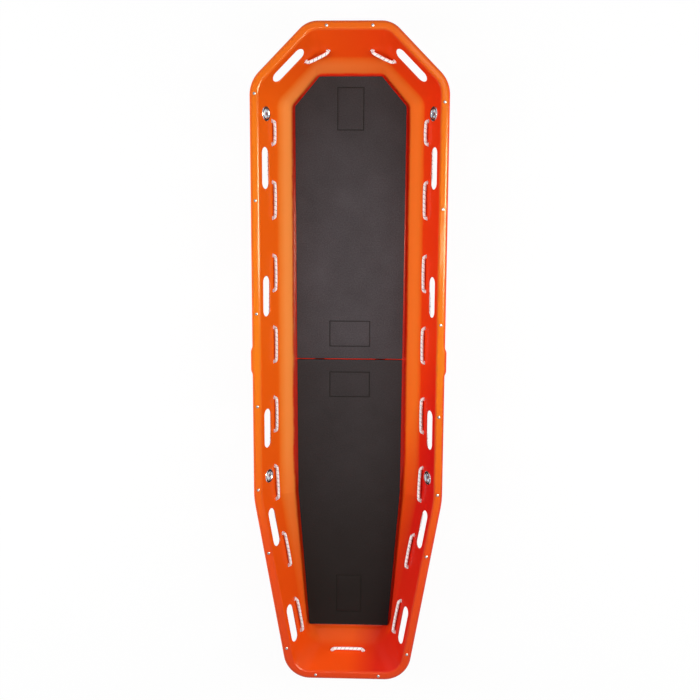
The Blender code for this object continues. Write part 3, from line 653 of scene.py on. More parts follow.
def polyester_braid():
    # Braided polyester, 10 mm: white yarns crossing in a fine herringbone, and one dark blue-grey tracer
    # yarn that winds round once in 14 mm. UV is (turns round the rope, tracer pitches along it).
    made, shader = new_material("polyester_braid", Roughness=0.75, IOR=1.5, Sheen_Weight=0.9)
    along = add_node(made, "ShaderNodeUVMap", {"uv_map": "lay"})
    parts = add_node(made, "ShaderNodeSeparateXYZ", inputs={"Vector": along.outputs["UV"]})
    place = add_node(made, "ShaderNodeTexCoord").outputs["Object"]
    frayed = add_node(
        made,
        "ShaderNodeTexNoise",
        inputs={"Vector": place, "Scale": 160.0, "Detail": 3.0, "Roughness": 0.6},
    )
    winding = add_node(
        made, "ShaderNodeMath", {"operation": "ADD"}, {0: parts.outputs["X"], 1: parts.outputs["Y"]}
    )
    loose = add_node(
        made,
        "ShaderNodeMath",
        {"operation": "MULTIPLY_ADD"},
        {0: frayed.outputs["Fac"], 1: 0.35, 2: winding.outputs[0]},
    )
    turn = add_node(made, "ShaderNodeMath", {"operation": "FRACT"}, {0: loose.outputs[0]})
    tone = add_node(
        made,
        "ShaderNodeValToRGB",
        {
            "stops": (
                (0.0, colour("#FDFCFD")),
                (0.46, colour("#FDFCFD")),
                (0.475, colour("#14182A")),
                (0.535, colour("#14182A")),
                (0.55, colour("#FDFCFD")),
            )
        },
        {"Fac": turn.outputs[0]},
    )
    made.node_tree.links.new(tone.outputs["Color"], shader.inputs["Base Color"])
    strands = []
    for sign in (1, -1):
        crossing = add_node(
            made,
            "ShaderNodeMath",
            {"operation": "MULTIPLY_ADD"},
            {0: parts.outputs["X"], 1: sign * 8.0 * math.tau, 2: 0.0},
        )
        run = add_node(
            made,
            "ShaderNodeMath",
            {"operation": "MULTIPLY_ADD"},
            {0: parts.outputs["Y"], 1: 3.0 * math.tau, 2: crossing.outputs[0]},
        )
        strands.append(add_node(made, "ShaderNodeMath", {"operation": "SINE"}, {0: run.outputs[0]}))
    weave = add_node(
        made,
        "ShaderNodeMath",
        {"operation": "MULTIPLY"},
        {0: strands[0].outputs[0], 1: strands[1].outputs[0]},
    )
    yarns = add_node(
        made,
        "ShaderNodeBump",
        inputs={"Strength": 0.25, "Distance": 0.3 * MM, "Height": weave.outputs[0]},
    )
    made.node_tree.links.new(yarns.outputs["Normal"], shader.inputs["Normal"])
    return made


def turned_stainless():
    # Turned and polished stainless steel: bright, with faint marks 1.4 mm apart and smudges of 17 mm.
    made, shader = new_material("polished_stainless", Metallic=1.0)
    place = add_node(made, "ShaderNodeTexCoord").outputs["Object"]
    marks = add_node(
        made,
        "ShaderNodeTexNoise",
        inputs={"Vector": place, "Scale": 700.0, "Detail": 4.0, "Roughness": 0.7},
    )
    smudges = add_node(
        made,
        "ShaderNodeTexNoise",
        inputs={"Vector": place, "Scale": 60.0, "Detail": 4.0, "Roughness": 0.6},
    )
    tone = add_node(
        made,
        "ShaderNodeValToRGB",
        {"stops": ((0.3, colour("#B9BFC9")), (0.7, colour("#D6DAE0")))},
        {"Fac": smudges.outputs["Fac"]},
    )
    made.node_tree.links.new(tone.outputs["Color"], shader.inputs["Base Color"])
    gloss = add_node(
        made,
        "ShaderNodeMapRange",
        inputs={
            "Value": smudges.outputs["Fac"],
            "From Min": 0.3,
            "From Max": 0.7,
            "To Min": 0.10,
            "To Max": 0.24,
        },
    )
    # Painted shade in the sewn channels: 1 on the stitching, falling to 0 within CHANNEL_SHADE of it.
    made.node_tree.links.new(gloss.outputs["Result"], shader.inputs["Roughness"])
    scratches = add_node(
        made,
        "ShaderNodeBump",
        inputs={"Strength": 0.06, "Distance": 0.1 * MM, "Height": marks.outputs["Fac"]},
    )
    made.node_tree.links.new(scratches.outputs["Normal"], shader.inputs["Normal"])
    return made


def zinc_plating():
    # Bright zinc plating on screws: silvery, with a passivated film that is cloudy at about 1 mm.
    made, shader = new_material("zinc_plated_screws", Metallic=1.0)
    place = add_node(made, "ShaderNodeTexCoord").outputs["Object"]
    film = add_node(
        made,
        "ShaderNodeTexNoise",
        inputs={"Vector": place, "Scale": 900.0, "Detail": 3.0, "Roughness": 0.6},
    )
    tone = add_node(
        made,
        "ShaderNodeValToRGB",
        {"stops": ((0.3, colour("#7E838A")), (0.7, colour("#B0B4B8")))},
        {"Fac": film.outputs["Fac"]},
    )
    made.node_tree.links.new(tone.outputs["Color"], shader.inputs["Base Color"])
    gloss = add_node(
        made,
        "ShaderNodeMapRange",
        inputs={
            "Value": film.outputs["Fac"],
            "From Min": 0.3,
            "From Max": 0.7,
            "To Min": 0.2,
            "To Max": 0.36,
        },
    )
    made.node_tree.links.new(gloss.outputs["Result"], shader.inputs["Roughness"])
    return made


def galvanised_steel():
    # Galvanised tube: dull silver, with a grain of 2 mm and soft grey blotches of 18 mm.
    made, shader = new_material("galvanised_steel_tube", Metallic=1.0)
    place = add_node(made, "ShaderNodeTexCoord").outputs["Object"]
    blotches = add_node(
        made,
        "ShaderNodeTexNoise",
        inputs={"Vector": place, "Scale": 55.0, "Detail": 5.0, "Roughness": 0.6},
    )
    tone = add_node(
        made,
        "ShaderNodeValToRGB",
        {"stops": ((0.3, colour("#8E9398")), (0.7, colour("#B9BCBF")))},
        {"Fac": blotches.outputs["Fac"]},
    )
    made.node_tree.links.new(tone.outputs["Color"], shader.inputs["Base Color"])
    gloss = add_node(
        made,
        "ShaderNodeMapRange",
        inputs={
            "Value": blotches.outputs["Fac"],
            "From Min": 0.3,
            "From Max": 0.7,
            "To Min": 0.32,
            "To Max": 0.5,
        },
    )
    made.node_tree.links.new(gloss.outputs["Result"], shader.inputs["Roughness"])
    drawn = add_node(
        made,
        "ShaderNodeTexNoise",
        inputs={"Vector": place, "Scale": 500.0, "Detail": 2.0, "Roughness": 0.5},
    )
    lines = add_node(
        made,
        "ShaderNodeBump",
        inputs={"Strength": 0.1, "Distance": 0.1 * MM, "Height": drawn.outputs["Fac"]},
    )
    made.node_tree.links.new(lines.outputs["Normal"], shader.inputs["Normal"])
    return made


def shrunk_polyolefin():
    # Heat-shrunk polyolefin sleeve: black, satin, with slight ripples of 4 mm from the braid below.
    made, shader = new_material("heat_shrunk_polyolefin", IOR=1.5, Roughness=0.45)
    place = add_node(made, "ShaderNodeTexCoord").outputs["Object"]
    ripples = add_node(
        made,
        "ShaderNodeTexNoise",
        inputs={"Vector": place, "Scale": 260.0, "Detail": 3.0, "Roughness": 0.5},
    )
    tone = add_node(
        made,
        "ShaderNodeValToRGB",
        {"stops": ((0.3, colour("#171718")), (0.7, colour("#262628")))},
        {"Fac": ripples.outputs["Fac"]},
    )
    made.node_tree.links.new(tone.outputs["Color"], shader.inputs["Base Color"])
    bumps = add_node(
        made,
        "ShaderNodeBump",
        inputs={"Strength": 0.3, "Distance": 0.3 * MM, "Height": ripples.outputs["Fac"]},
    )
    made.node_tree.links.new(bumps.outputs["Normal"], shader.inputs["Normal"])
    return made


def nylon_tape(name, dark, light, scale, depth):
    """Hook or loop tape: black nylon, with hooks 1.1 mm apart or a felted pile of 0.7 mm loops."""
    made, shader = new_material(name, IOR=1.53, Roughness=0.9)
    place = add_node(made, "ShaderNodeTexCoord").outputs["Object"]
    pile = add_node(made, "ShaderNodeTexVoronoi", inputs={"Vector": place, "Scale": scale})
    tone = add_node(
        made,
        "ShaderNodeValToRGB",
        {"stops": ((0.0, colour(light)), (0.6, colour(dark)))},
        {"Fac": pile.outputs["Distance"]},
    )
    made.node_tree.links.new(tone.outputs["Color"], shader.inputs["Base Color"])
    tufts = add_node(
        made,
        "ShaderNodeBump",
        inputs={"Strength": 0.8, "Distance": depth, "Height": pile.outputs["Distance"]},
    )
    made.node_tree.links.new(tufts.outputs["Normal"], shader.inputs["Normal"])
    return made


def bonded_thread():
    # Bonded nylon thread: black, twisted at 0.8 mm, with the slight gloss of its coating.
    made, shader = new_material("bonded_nylon_thread", IOR=1.53, Roughness=0.6, Specular_IOR_Level=0.15)
    place = add_node(made, "ShaderNodeTexCoord").outputs["Object"]
    twist = add_node(
        made,
        "ShaderNodeTexNoise",
        inputs={"Vector": place, "Scale": 1200.0, "Detail": 2.0, "Roughness": 0.5},
    )
    tone = add_node(
        made,
        "ShaderNodeValToRGB",
        {"stops": ((0.3, colour("#080606")), (0.7, colour("#141010")))},
        {"Fac": twist.outputs["Fac"]},
    )
    made.node_tree.links.new(tone.outputs["Color"], shader.inputs["Base Color"])
    return made


# Plans and places, as in the solids


def inset_corners(corners, distance):
    chain = [(0.0, corners[0][1]), *corners, (0.0, corners[-1][1])]
    lines = []
    for (ax, ay), (bx, by) in zip(chain, chain[1:]):
        along = Vector((bx - ax, by - ay)).normalized()
        inwards = Vector((along.y, -along.x))
        lines.append((Vector((ax, ay)) + inwards * distance, along))
    moved = []
    for (p, d), (q, e) in zip(lines, lines[1:]):
        moved.append(tuple(p + d * ((q - p).cross(e) / d.cross(e))))
    return tuple(moved)


def corner_arc(before, corner, after, radius, steps):
    corner = Vector(corner)
    to_before = (Vector(before) - corner).normalized()
    to_after = (Vector(after) - corner).normalized()
    half = to_before.angle(to_after) / 2
    centre = corner + (to_before + to_after).normalized() * (radius / math.sin(half))
    start = corner + to_before * (radius / math.tan(half)) - centre
    end = corner + to_after * (radius / math.tan(half)) - centre
    turn = math.copysign(math.pi - 2 * half, start.cross(end))
    return [centre + Matrix.Rotation(turn * i / steps, 2) @ start for i in range(steps + 1)]


def side_stations():
    """Points along the straight side: closer together where the rim swells round the sleeve."""
    ramp = [BULGE_FLAT + BULGE_RAMP * i / BULGE_STEPS for i in range(BULGE_STEPS, -1, -1)]
    middle = [SLEEVE_Y + r for r in ramp] + [SLEEVE_Y - r for r in reversed(ramp)]
    head = [y * MM for y in SIDE_HEAD_POINTS]
    foot = [y * MM for y in SIDE_FOOT_POINTS]
    return head + middle + foot


def swell(y):
    past = (abs(y - SLEEVE_Y) - BULGE_FLAT) / BULGE_RAMP
    share = min(1.0, max(0.0, 1.0 - past))
    return share * share * (3 - 2 * share)


def plan(corners, radii, z, bulge=0.0):
    """A closed ring of points at height z, from the head end round by +X and back by -X."""
    chain = [(0.0, corners[0][1]), *corners, (0.0, corners[-1][1])]
    half = []
    for i, (radius, steps) in enumerate(zip(radii, CORNER_STEPS)):
        half += corner_arc(chain[i], chain[i + 1], chain[i + 2], radius, steps)
        if i == 1:
            x = corners[1][0]
            half += [Vector((x + bulge * swell(y), y)) for y in side_stations()]
    right = [Vector((p.x, p.y, z)) for p in half]
    left = [Vector((-p.x, p.y, z)) for p in reversed(half)]
    head = Vector((0.0, corners[0][1], z))
    foot = Vector((0.0, corners[-1][1], z))
    return [head, *right, foot, *left]


def rim_ring(inset, z, bulge_share=0.0):
    radii = [r - inset for r in RIM_RADII]
    return plan(inset_corners(RIM_CORNERS, inset), radii, z, BULGE * bulge_share)


def blend_rings(upper, lower, share):
    return [a.lerp(b, share) for a, b in zip(upper, lower)]


def bent_rings(start, middle, end, steps):
    """Rings on a smooth bend from start to end, pulled towards the middle one."""
    made = []
    for i in range(steps + 1):
        t = i / steps
        made.append(
            [a * (1 - t) ** 2 + b * 2 * t * (1 - t) + c * t * t for a, b, c in zip(start, middle, end)]
        )
    return made


def wall_top_ring():
    inset = RIM_ROUND + RIM_FLAT + RIM_ROUND * math.sin(RIM_INNER_TURN)
    return rim_ring(inset, RIM_TOP - RIM_ROUND + RIM_ROUND * math.cos(RIM_INNER_TURN))


def crease_ring():
    return plan(CREASE_CORNERS, CREASE_RADII, CREASE_Z)


def floor_ring(inset=0.0, z=FLOOR_Z):
    radii = [r - inset for r in FLOOR_RADII]
    return plan(inset_corners(FLOOR_CORNERS, inset), radii, z)


def wall_ring(z):
    upper, lower = wall_top_ring(), crease_ring()
    return blend_rings(upper, lower, (upper[0].z - z) / (upper[0].z - CREASE_Z))


class RingLine:
    """A closed ring of points, with the distance along it."""

    def __init__(self, points):
        self.points = points
        self.starts = [0.0]
        for a, b in zip(points, points[1:] + points[:1]):
            self.starts.append(self.starts[-1] + (b - a).length)
        self.length = self.starts[-1]

    def crossing(self, axis, value, wanted):
        count = len(self.points)
        for i in range(count):
            a, b = self.points[i], self.points[(i + 1) % count]
            if (a[axis] - value) * (b[axis] - value) <= 0 and a[axis] != b[axis]:
                share = (value - a[axis]) / (b[axis] - a[axis])
                if wanted(a.lerp(b, share)):
                    return self.starts[i] + share * (b - a).length
        raise ValueError("the line has no such place")

    def on_side(self, side, y):
        return self.crossing(1, y, lambda p: p.x * side > 0)

    def on_end(self, end, x):
        return self.crossing(0, x, lambda p: p.y * end > 0)

    def find(self, distance):
        distance %= self.length
        i = max(k for k in range(len(self.points)) if self.starts[k] <= distance)
        share = (distance - self.starts[i]) / (self.starts[i + 1] - self.starts[i])
        return i, (i + 1) % len(self.points), share

    def point(self, distance):
        i, after, share = self.find(distance)
        return self.points[i].lerp(self.points[after], share)


class WallLine(RingLine):
    """A level line on the steep wall, with the wall's frame at each place along it."""

    def __init__(self, z):
        super().__init__(wall_ring(z))
        self.below = wall_ring(z - MM)

    def frame(self, distance):
        i, after, share = self.find(distance)
        point = self.point(distance)
        lower = self.below[i].lerp(self.below[after], share)
        along = (self.points[after] - self.points[i]).normalized()
        normal = along.cross(lower - point).normalized()
        if normal.z < 0:
            normal.negate()
        return point, normal, along


def placed(point, normal, along):
    across = normal.cross(along)
    return Matrix.Translation(point) @ Matrix((along, across, normal)).transposed().to_4x4()


# Mesh helpers


def first_ring(shape, points):
    """A closed loop of vertices and the edges between them."""
    verts = [shape.verts.new(p) for p in points]
    for pair in zip(verts, verts[1:] + verts[:1]):
        shape.edges.new(pair)
    return verts


def next_ring(shape, verts, points):
    """Extrudes a loop and moves it to the next ring's points."""
    edges = [shape.edges.get(pair) for pair in zip(verts, verts[1:] + verts[:1])]
    grown = bmesh.ops.extrude_edge_only(shape, edges=edges)["geom"]
    fresh = {g for g in grown if isinstance(g, bmesh.types.BMVert)}
    moved = []
    for vert, point in zip(verts, points):
        partner = next(e.other_vert(vert) for e in vert.link_edges if e.other_vert(vert) in fresh)
        partner.co = point
        moved.append(partner)
    return moved


def skin_rings(shape, rings, closed=False):
    """Extrudes one ring into the next. A closed stack gets a face over each end."""
    first = first_ring(shape, rings[0])
    last = first
    for points in rings[1:]:
        last = next_ring(shape, last, points)
    if closed:
        shape.faces.new(first)
        shape.faces.new(last)
    return first, last


def turned(shape, profile, segments, matrix):
    """Spins a profile of (radius, height) points about local Z into a closed solid."""
    verts = [shape.verts.new((r, 0, h)) for r, h in profile]
    edges = [shape.edges.new(pair) for pair in zip(verts, verts[1:])]
    if profile[0][0] > 0:
        edges.append(shape.edges.new((verts[-1], verts[0])))
    old = set(shape.verts) - set(verts)
    bmesh.ops.spin(
        shape,
        geom=verts + edges,
        axis=(0, 0, 1),
        cent=(0, 0, 0),
        angle=math.tau,
        steps=segments,
        use_merge=True,
    )
    fresh = [v for v in shape.verts if v not in old]
    bmesh.ops.remove_doubles(shape, verts=fresh, dist=0.005 * MM)
    fresh = [v for v in shape.verts if v not in old]
    bmesh.ops.transform(shape, matrix=matrix, verts=fresh)


def rounded(profile, radius, steps=3):
    """A profile with its corners rounded by arcs. Points are (radius, height, share of the arc)."""
    made = []
    count = len(profile)
    for i, (r, h, share) in enumerate(profile):
        if not share:
            made.append((r, h))
            continue
        before, after = profile[i - 1], profile[(i + 1) % count]
        arc = corner_arc(before[:2], (r, h), after[:2], radius * share, steps)
        made += [tuple(p) for p in arc]
    return made


def as_mesh(name, shape, outwards=True):
    if outwards:
        bmesh.ops.recalc_face_normals(shape, faces=shape.faces)
    mesh = bpy.data.meshes.new(name)
    shape.to_mesh(mesh)
    shape.free()
    return mesh


def add_piece(name, mesh, material, body=BASKET, sharp=35, nodes=()):
    """Puts a finished mesh in the scene, on its body and in place of its CAD nodes."""
    piece = bpy.data.objects.new(name, mesh)
    bpy.context.scene.collection.objects.link(piece)
    mesh.materials.clear()
    mesh.materials.append(material)
    mesh.shade_smooth()
    if sharp:
        mesh.set_sharp_from_angle(angle=math.radians(sharp))
    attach(piece, body)
    if nodes:
        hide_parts(*nodes)
    return piece


def helper_object(name, mesh):
    helper = bpy.data.objects.new(name, mesh)
    bpy.context.scene.collection.objects.link(helper)
    return helper


def applied(thing):
    """The mesh of a helper object with its modifiers applied. The helper is removed."""
    graph = bpy.context.evaluated_depsgraph_get()
    mesh = bpy.data.meshes.new_from_object(thing.evaluated_get(graph))
    bpy.data.objects.remove(thing)
    return mesh


def carve(thing, cutter, operation="DIFFERENCE"):
    modifier = thing.modifiers.new(f"{operation.title()} {cutter.name}", "BOOLEAN")
    modifier.object = cutter
    modifier.operation = operation
    modifier.solver = "EXACT"


# Shell


def stadium(length, width, steps=14):
    radius = width / 2
    reach = length / 2 - radius
    points = []
    for end in (1, -1):
        for i in range(steps + 1):
            angle = math.pi * (i / steps - 0.5)
            points.append((end * (reach + radius * math.cos(angle)), end * radius * math.sin(angle)))
    return points


def flared(depth, radius, steps=4):
    """(offset, height) pairs down a hole through the wall, with both of its edges rounded."""
    pairs = [(radius, CUT_DEPTH)]
    for i in range(steps + 1):
        angle = math.pi / 2 * i / steps
        pairs.append((radius * (1 - math.sin(angle)), -radius * (1 - math.cos(angle))))
    return pairs + [(o, -depth - h) for o, h in reversed(pairs)]


def slot_frames():
    line = WallLine(SLOT_Z)
    return [placed(*line.frame(line.on_side(side, y))) for side in (1, -1) for y in SLOT_Y]


def eyelet_frames():
    line = WallLine(EYELET_Z)
    for side, word in ((1, "right"), (-1, "left")):
        for y, end in zip(EYELET_Y, ("head", "foot")):
            yield f"{end}_{word}", placed(*line.frame(line.on_side(side, y)))


def rope_holes(line):
    heights = [ROPE_DIAGONAL_Y, *ROPE_SHORT_PAIR]
    for i in range(ROPE_STRETCHES):
        middle = ROPE_FIRST_MIDDLE - i * ROPE_PITCH
        heights += [middle + ROPE_HALF_STRETCH, middle - ROPE_HALF_STRETCH]
    right = [line.on_end(1, ROPE_HEAD_X)]
    right += [line.on_side(1, y) for y in heights]
    right.append(line.on_end(-1, ROPE_FOOT_X))
    return right + [line.length - d for d in reversed(right)]


def shell_rings():
    rings = [rim_ring(0, RIM_TOP - LIP_DROP, 1), rim_ring(0, RIM_TOP - LIP_DROP + LIP_BAND, 1)]
    for i in range(RIM_OUTER_STEPS + 1):
        a = math.radians(90 - 90 * i / RIM_OUTER_STEPS)
        z = RIM_TOP - RIM_ROUND * (1 - math.cos(a))
        rings.append(rim_ring(RIM_ROUND * (1 - math.sin(a)), z, math.sin(a)))
    for i in range(RIM_INNER_STEPS + 1):
        a = RIM_INNER_TURN * i / RIM_INNER_STEPS
        inset = RIM_ROUND + RIM_FLAT + RIM_ROUND * math.sin(a)
        rings.append(rim_ring(inset, RIM_TOP - RIM_ROUND * (1 - math.cos(a))))
    wall_top, crease, floor = wall_top_ring(), crease_ring(), floor_ring()
    wall_share = CREASE_REACH / (wall_top[0].z - CREASE_Z)
    flank_share = CREASE_REACH / (CREASE_Z - FLOOR_Z)
    rings.append(blend_rings(wall_top, crease, WALL_TOP_SHARE))
    above = blend_rings(crease, wall_top, wall_share)
    below = blend_rings(crease, floor, flank_share)
    rings += bent_rings(above, crease, below, CREASE_STEPS)
    upper = blend_rings(floor, crease, FLOOR_FILLET / (CREASE_Z - FLOOR_Z))
    rings += bent_rings(upper, floor, floor_ring(FLOOR_FILLET), FLOOR_STEPS)
    return rings


def rounded_box(x, y, half_width, half_length, radius, z):
    """A ring at height z round a box with its corners rounded."""
    box = [
        Vector((x - half_width, y - half_length)),
        Vector((x + half_width, y - half_length)),
        Vector((x + half_width, y + half_length)),
        Vector((x - half_width, y + half_length)),
    ]
    ring = []
    for k, corner in enumerate(box):
        ring += corner_arc(box[k - 1], corner, box[(k + 1) % 4], radius, 5)
    return [Vector((p.x, p.y, z)) for p in ring]


def runner_stack(side, shrink, low, high, root, nose):
    """One tapered ridge under the floor: rounded at its sole and flared where it meets the floor."""
    middle = (RUNNER_HEAD + RUNNER_FOOT) / 2
    rings = []
    levels = []
    for i in range(4):
        a = math.pi / 2 * i / 3
        levels.append((-nose * (1 - math.sin(a)), low + nose * (1 - math.cos(a))))
    for i in range(5):
        a = math.pi / 2 * i / 4
        levels.append((root * (1 - math.cos(a)), high - root * (1 - math.sin(a))))
    levels.append((levels[-1][0], high + WALL / 2))
    for spread, z in levels:
        drop = max(0.0, (FLOOR_Z - z) / RUNNER_HEIGHT)
        w = (RUNNER_WIDTH - 2 * shrink - 2 * RUNNER_DRAFT * drop) / 2 + spread
        run = (RUNNER_HEAD - RUNNER_FOOT - 2 * shrink - 2 * RUNNER_RAMP * drop) / 2 + spread
        rings.append(rounded_box(side * RUNNER_X, middle, w, run, RUNNER_ROUND, z))
    return rings


def screw_places():
    line = RingLine(rim_ring(TUBE_INSET, TUBE_Z))
    for side, word, heights in ((1, "right", RIM_SCREW_RIGHT_Y), (-1, "left", RIM_SCREW_LEFT_Y)):
        for i, y in enumerate(heights, 1):
            point = line.point(line.on_side(side, y))
            yield f"rim_screw_{word}_{i}", point.x, point.y
        yield f"rim_screw_head_{word}", side * RIM_SCREW_HEAD_X, HEAD_END - TUBE_INSET
        yield f"rim_screw_foot_{word}", side * RIM_SCREW_FOOT_X, FOOT_END + TUBE_INSET


def sleeve_screw_places():
    x = RIM_HALF_WIDTH - TUBE_INSET
    for side, word in ((1, "right"), (-1, "left")):
        for end, way in (("head", 1), ("foot", -1)):
            yield f"sleeve_screw_{end}_{word}", side * x, SLEEVE_Y + way * SLEEVE_SCREW_FROM_MIDDLE


def moulded_skin():
    """The basket's sheet with its wall thickness, and with the edge of its lip rounded."""
    shape = bmesh.new()
    _, floor = skin_rings(shape, shell_rings())
    shape.faces.new(floor)
    bmesh.ops.recalc_face_normals(shape, faces=shape.faces)
    shape.normal_update()
    if sum(f.normal.z * f.calc_area() for f in shape.faces) < 0:
        bmesh.ops.reverse_faces(shape, faces=shape.faces)
    skin = helper_object("skin", as_mesh("skin", shape, outwards=False))
    wall = skin.modifiers.new("Wall", "SOLIDIFY")
    wall.thickness = WALL
    wall.offset = -1
    wall.use_even_offset = True
    shape = bmesh.new()
    shape.from_mesh(applied(skin))
    low = RIM_TOP - LIP_DROP
    edges = []
    for edge in shape.edges:
        if all(abs(v.co.z - low) < 0.1 * MM for v in edge.verts):
            if abs(edge.calc_face_angle(0)) > math.radians(60):
                edges.append(edge)
    bmesh.ops.bevel(
        shape, geom=edges, offset=LIP_EDGE_ROUND, segments=3, profile=0.5, affect="EDGES", material=-1
    )
    return helper_object("shell_body", as_mesh("shell_body", shape, outwards=False))


def shell_holes():
    """Cutters for the hand slots and for the holes of the line, the eyelets and the rim screws."""
    holes = bmesh.new()
    for frame_at in slot_frames():
        rings = []
        for offset, z in flared(WALL, SLOT_ROUND):
            outline = stadium(SLOT_LENGTH + 2 * offset, SLOT_WIDTH + 2 * offset)
            rings.append([frame_at @ Vector((x, y, z)) for x, y in outline])
        skin_rings(holes, rings, closed=True)
    line = WallLine(ROPE_Z)
    for distance in rope_holes(line):
        frame_at = placed(*line.frame(distance))
        profile = [(ROPE_HOLE + o, z) for o, z in flared(WALL, ROPE_HOLE_ROUND, 3)]
        turned(holes, [(0, CUT_DEPTH), *profile, (0, profile[-1][1])], 24, frame_at)
    barrel = EYELET_BORE + EYELET_BARREL_WALL + GAP
    profile = [(0, CUT_DEPTH), (barrel, CUT_DEPTH), (barrel, -CUT_DEPTH), (0, -CUT_DEPTH)]
    for _, frame_at in eyelet_frames():
        turned(holes, profile, 32, frame_at)
    r = SCREW_SHANK_RADIUS + SCREW_HOLE_GAP
    profile = [(0, RIM_TOP + WALL), (r, RIM_TOP + WALL), (r, TUBE_Z), (0, TUBE_Z)]
    for _, x, y in screw_places():
        turned(holes, profile, 12, Matrix.Translation((x, y, 0)))
    return holes


def make_shell(plastic):
    thing = moulded_skin()
    ridges, grooves = bmesh.new(), bmesh.new()
    for side in (1, -1):
        ridge = runner_stack(side, 0, 0, FLOOR_Z - WALL, RUNNER_ROOT_ROUND, RUNNER_SOLE_ROUND)
        groove = runner_stack(side, WALL, WALL, FLOOR_Z, GROOVE_ROUND, GROOVE_ROUND)
        skin_rings(ridges, ridge, closed=True)
        skin_rings(grooves, groove, closed=True)
    cuts = (
        ("ridges", ridges, "UNION"),
        ("grooves", grooves, "DIFFERENCE"),
        ("holes", shell_holes(), "DIFFERENCE"),
    )
    cutters = []
    for name, cut, operation in cuts:
        cutter = helper_object(name, as_mesh(name, cut))
        carve(thing, cutter, operation)
        cutters.append(cutter)
    mesh = applied(thing)
    for cutter in cutters:
        bpy.data.objects.remove(cutter)
    piece = add_piece("basket_shell", mesh, plastic, sharp=38, nodes=["shell"])
    flat = piece.modifiers.new("Even shading", "WEIGHTED_NORMAL")
    flat.keep_sharp = True
    flat.weight = 80


# Frame, screws and eyelets


def tube_rings(path, radius, sides, steady=None):
    """Rings round a path of points. steady is a direction that the rings keep upright."""
    rings = []
    normal = None
    for i, point in enumerate(path):
        along = (path[min(i + 1, len(path) - 1)] - path[max(i - 1, 0)]).normalized()
        if steady:
            normal = along.cross(steady).normalized()
        elif normal is None:
            normal = along.orthogonal().normalized()
        else:
            normal = (normal - along * normal.dot(along)).normalized()
        across = along.cross(normal)
        ring = []
        for k in range(sides):
            a = math.tau * k / sides
            ring.append(point + (normal * math.cos(a) + across * math.sin(a)) * radius)
        rings.append(ring)
    return rings


def make_tube(name, path, radius, wall, material):
    """A bent tube, open at both ends, with its wall."""
    outer = tube_rings(path, radius, TUBE_SIDES, Vector((0, 0, 1)))
    inner = tube_rings(path, radius - wall, TUBE_SIDES, Vector((0, 0, 1)))
    shape = bmesh.new()
    first, last = skin_rings(shape, outer + inner[::-1])
    for a, b in zip(zip(first, first[1:] + first[:1]), zip(last, last[1:] + last[:1])):
        shape.faces.new((a[0], a[1], b[1], b[0]))
    piece = add_piece(name, as_mesh(name, shape), material, sharp=40, nodes=[name])


def make_frame(steel):
    ring = rim_ring(TUBE_INSET, TUBE_Z)
    x = RIM_HALF_WIDTH - TUBE_INSET
    half = len(ring) // 2
    right, left = ring[: half + 1], ring[half:] + ring[:1]
    stops = {end: SLEEVE_Y + way * TUBE_END_GAP / 2 for end, way in (("head", 1), ("foot", -1))}
    above, below = SLEEVE_Y + 3 * MM, SLEEVE_Y - 3 * MM
    head = [p for p in left if p.y > above] + [p for p in right[1:] if p.y > above]
    foot = [p for p in right if p.y < below] + [p for p in left[1:] if p.y < below]
    head = [Vector((-x, stops["head"], TUBE_Z)), *head, Vector((x, stops["head"], TUBE_Z))]
    foot = [Vector((x, stops["foot"], TUBE_Z)), *foot, Vector((-x, stops["foot"], TUBE_Z))]
    make_tube("head_frame_tube", head, TUBE_RADIUS, TUBE_WALL, steel)
    make_tube("foot_frame_tube", foot, TUBE_RADIUS, TUBE_WALL, steel)
    for side, word in ((1, "right"), (-1, "left")):
        ends = [SLEEVE_Y - SLEEVE_LENGTH / 2, SLEEVE_Y + SLEEVE_LENGTH / 2]
        path = [Vector((side * x, y, TUBE_Z)) for y in ends]
        make_tube(f"frame_sleeve_{word}", path, SLEEVE_RADIUS, SLEEVE_WALL, steel)


def screw_shape(shank):
    """A pan-head screw with a cross recess. Its head sits on local Z 0 and its shank points down."""
    r, h = SCREW_HEAD_RADIUS, SCREW_HEAD_HEIGHT
    crown = [(0, h)]
    for i in range(1, 7):
        a = math.radians(12 + 78 * i / 6)
        crown.append((r * math.sin(a), h * (1 - SCREW_CROWN) + h * SCREW_CROWN * math.cos(a)))
    thread = []
    z = -THREAD_TOP
    while z > -shank + SCREW_POINT + MM:
        thread += [(SCREW_SHANK_RADIUS, z), (SCREW_SHANK_RADIUS * THREAD_ROOT, z - THREAD_PITCH / 2)]
        z -= THREAD_PITCH
    profile = [*crown, (r, 0.1 * MM), (r - 0.1 * MM, 0), (SCREW_SHANK_RADIUS, 0), *thread]
    profile += [(SCREW_SHANK_RADIUS * 0.8, -shank + SCREW_POINT), (SCREW_TIP, -shank), (0, -shank)]
    shape = bmesh.new()
    turned(shape, profile, 20, Matrix.Identity(4))
    head = helper_object("screw_blank", as_mesh("screw_blank", shape))
    cross = bmesh.new()
    rings = []
    for reach, arm, rise in SCREW_RECESS:
        z = h + rise
        ring = []
        for k in range(4):
            turn = Matrix.Rotation(math.pi / 2 * k, 3, "Z")
            ring += [turn @ Vector(c) for c in ((reach, -arm, z), (reach, arm, z), (arm, arm, z))]
        rings.append(ring)
    skin_rings(cross, rings, closed=True)
    cutter = helper_object("cross_recess", as_mesh("cross_recess", cross))
    carve(head, cutter)
    mesh = applied(head)
    bpy.data.objects.remove(cutter)
    return mesh


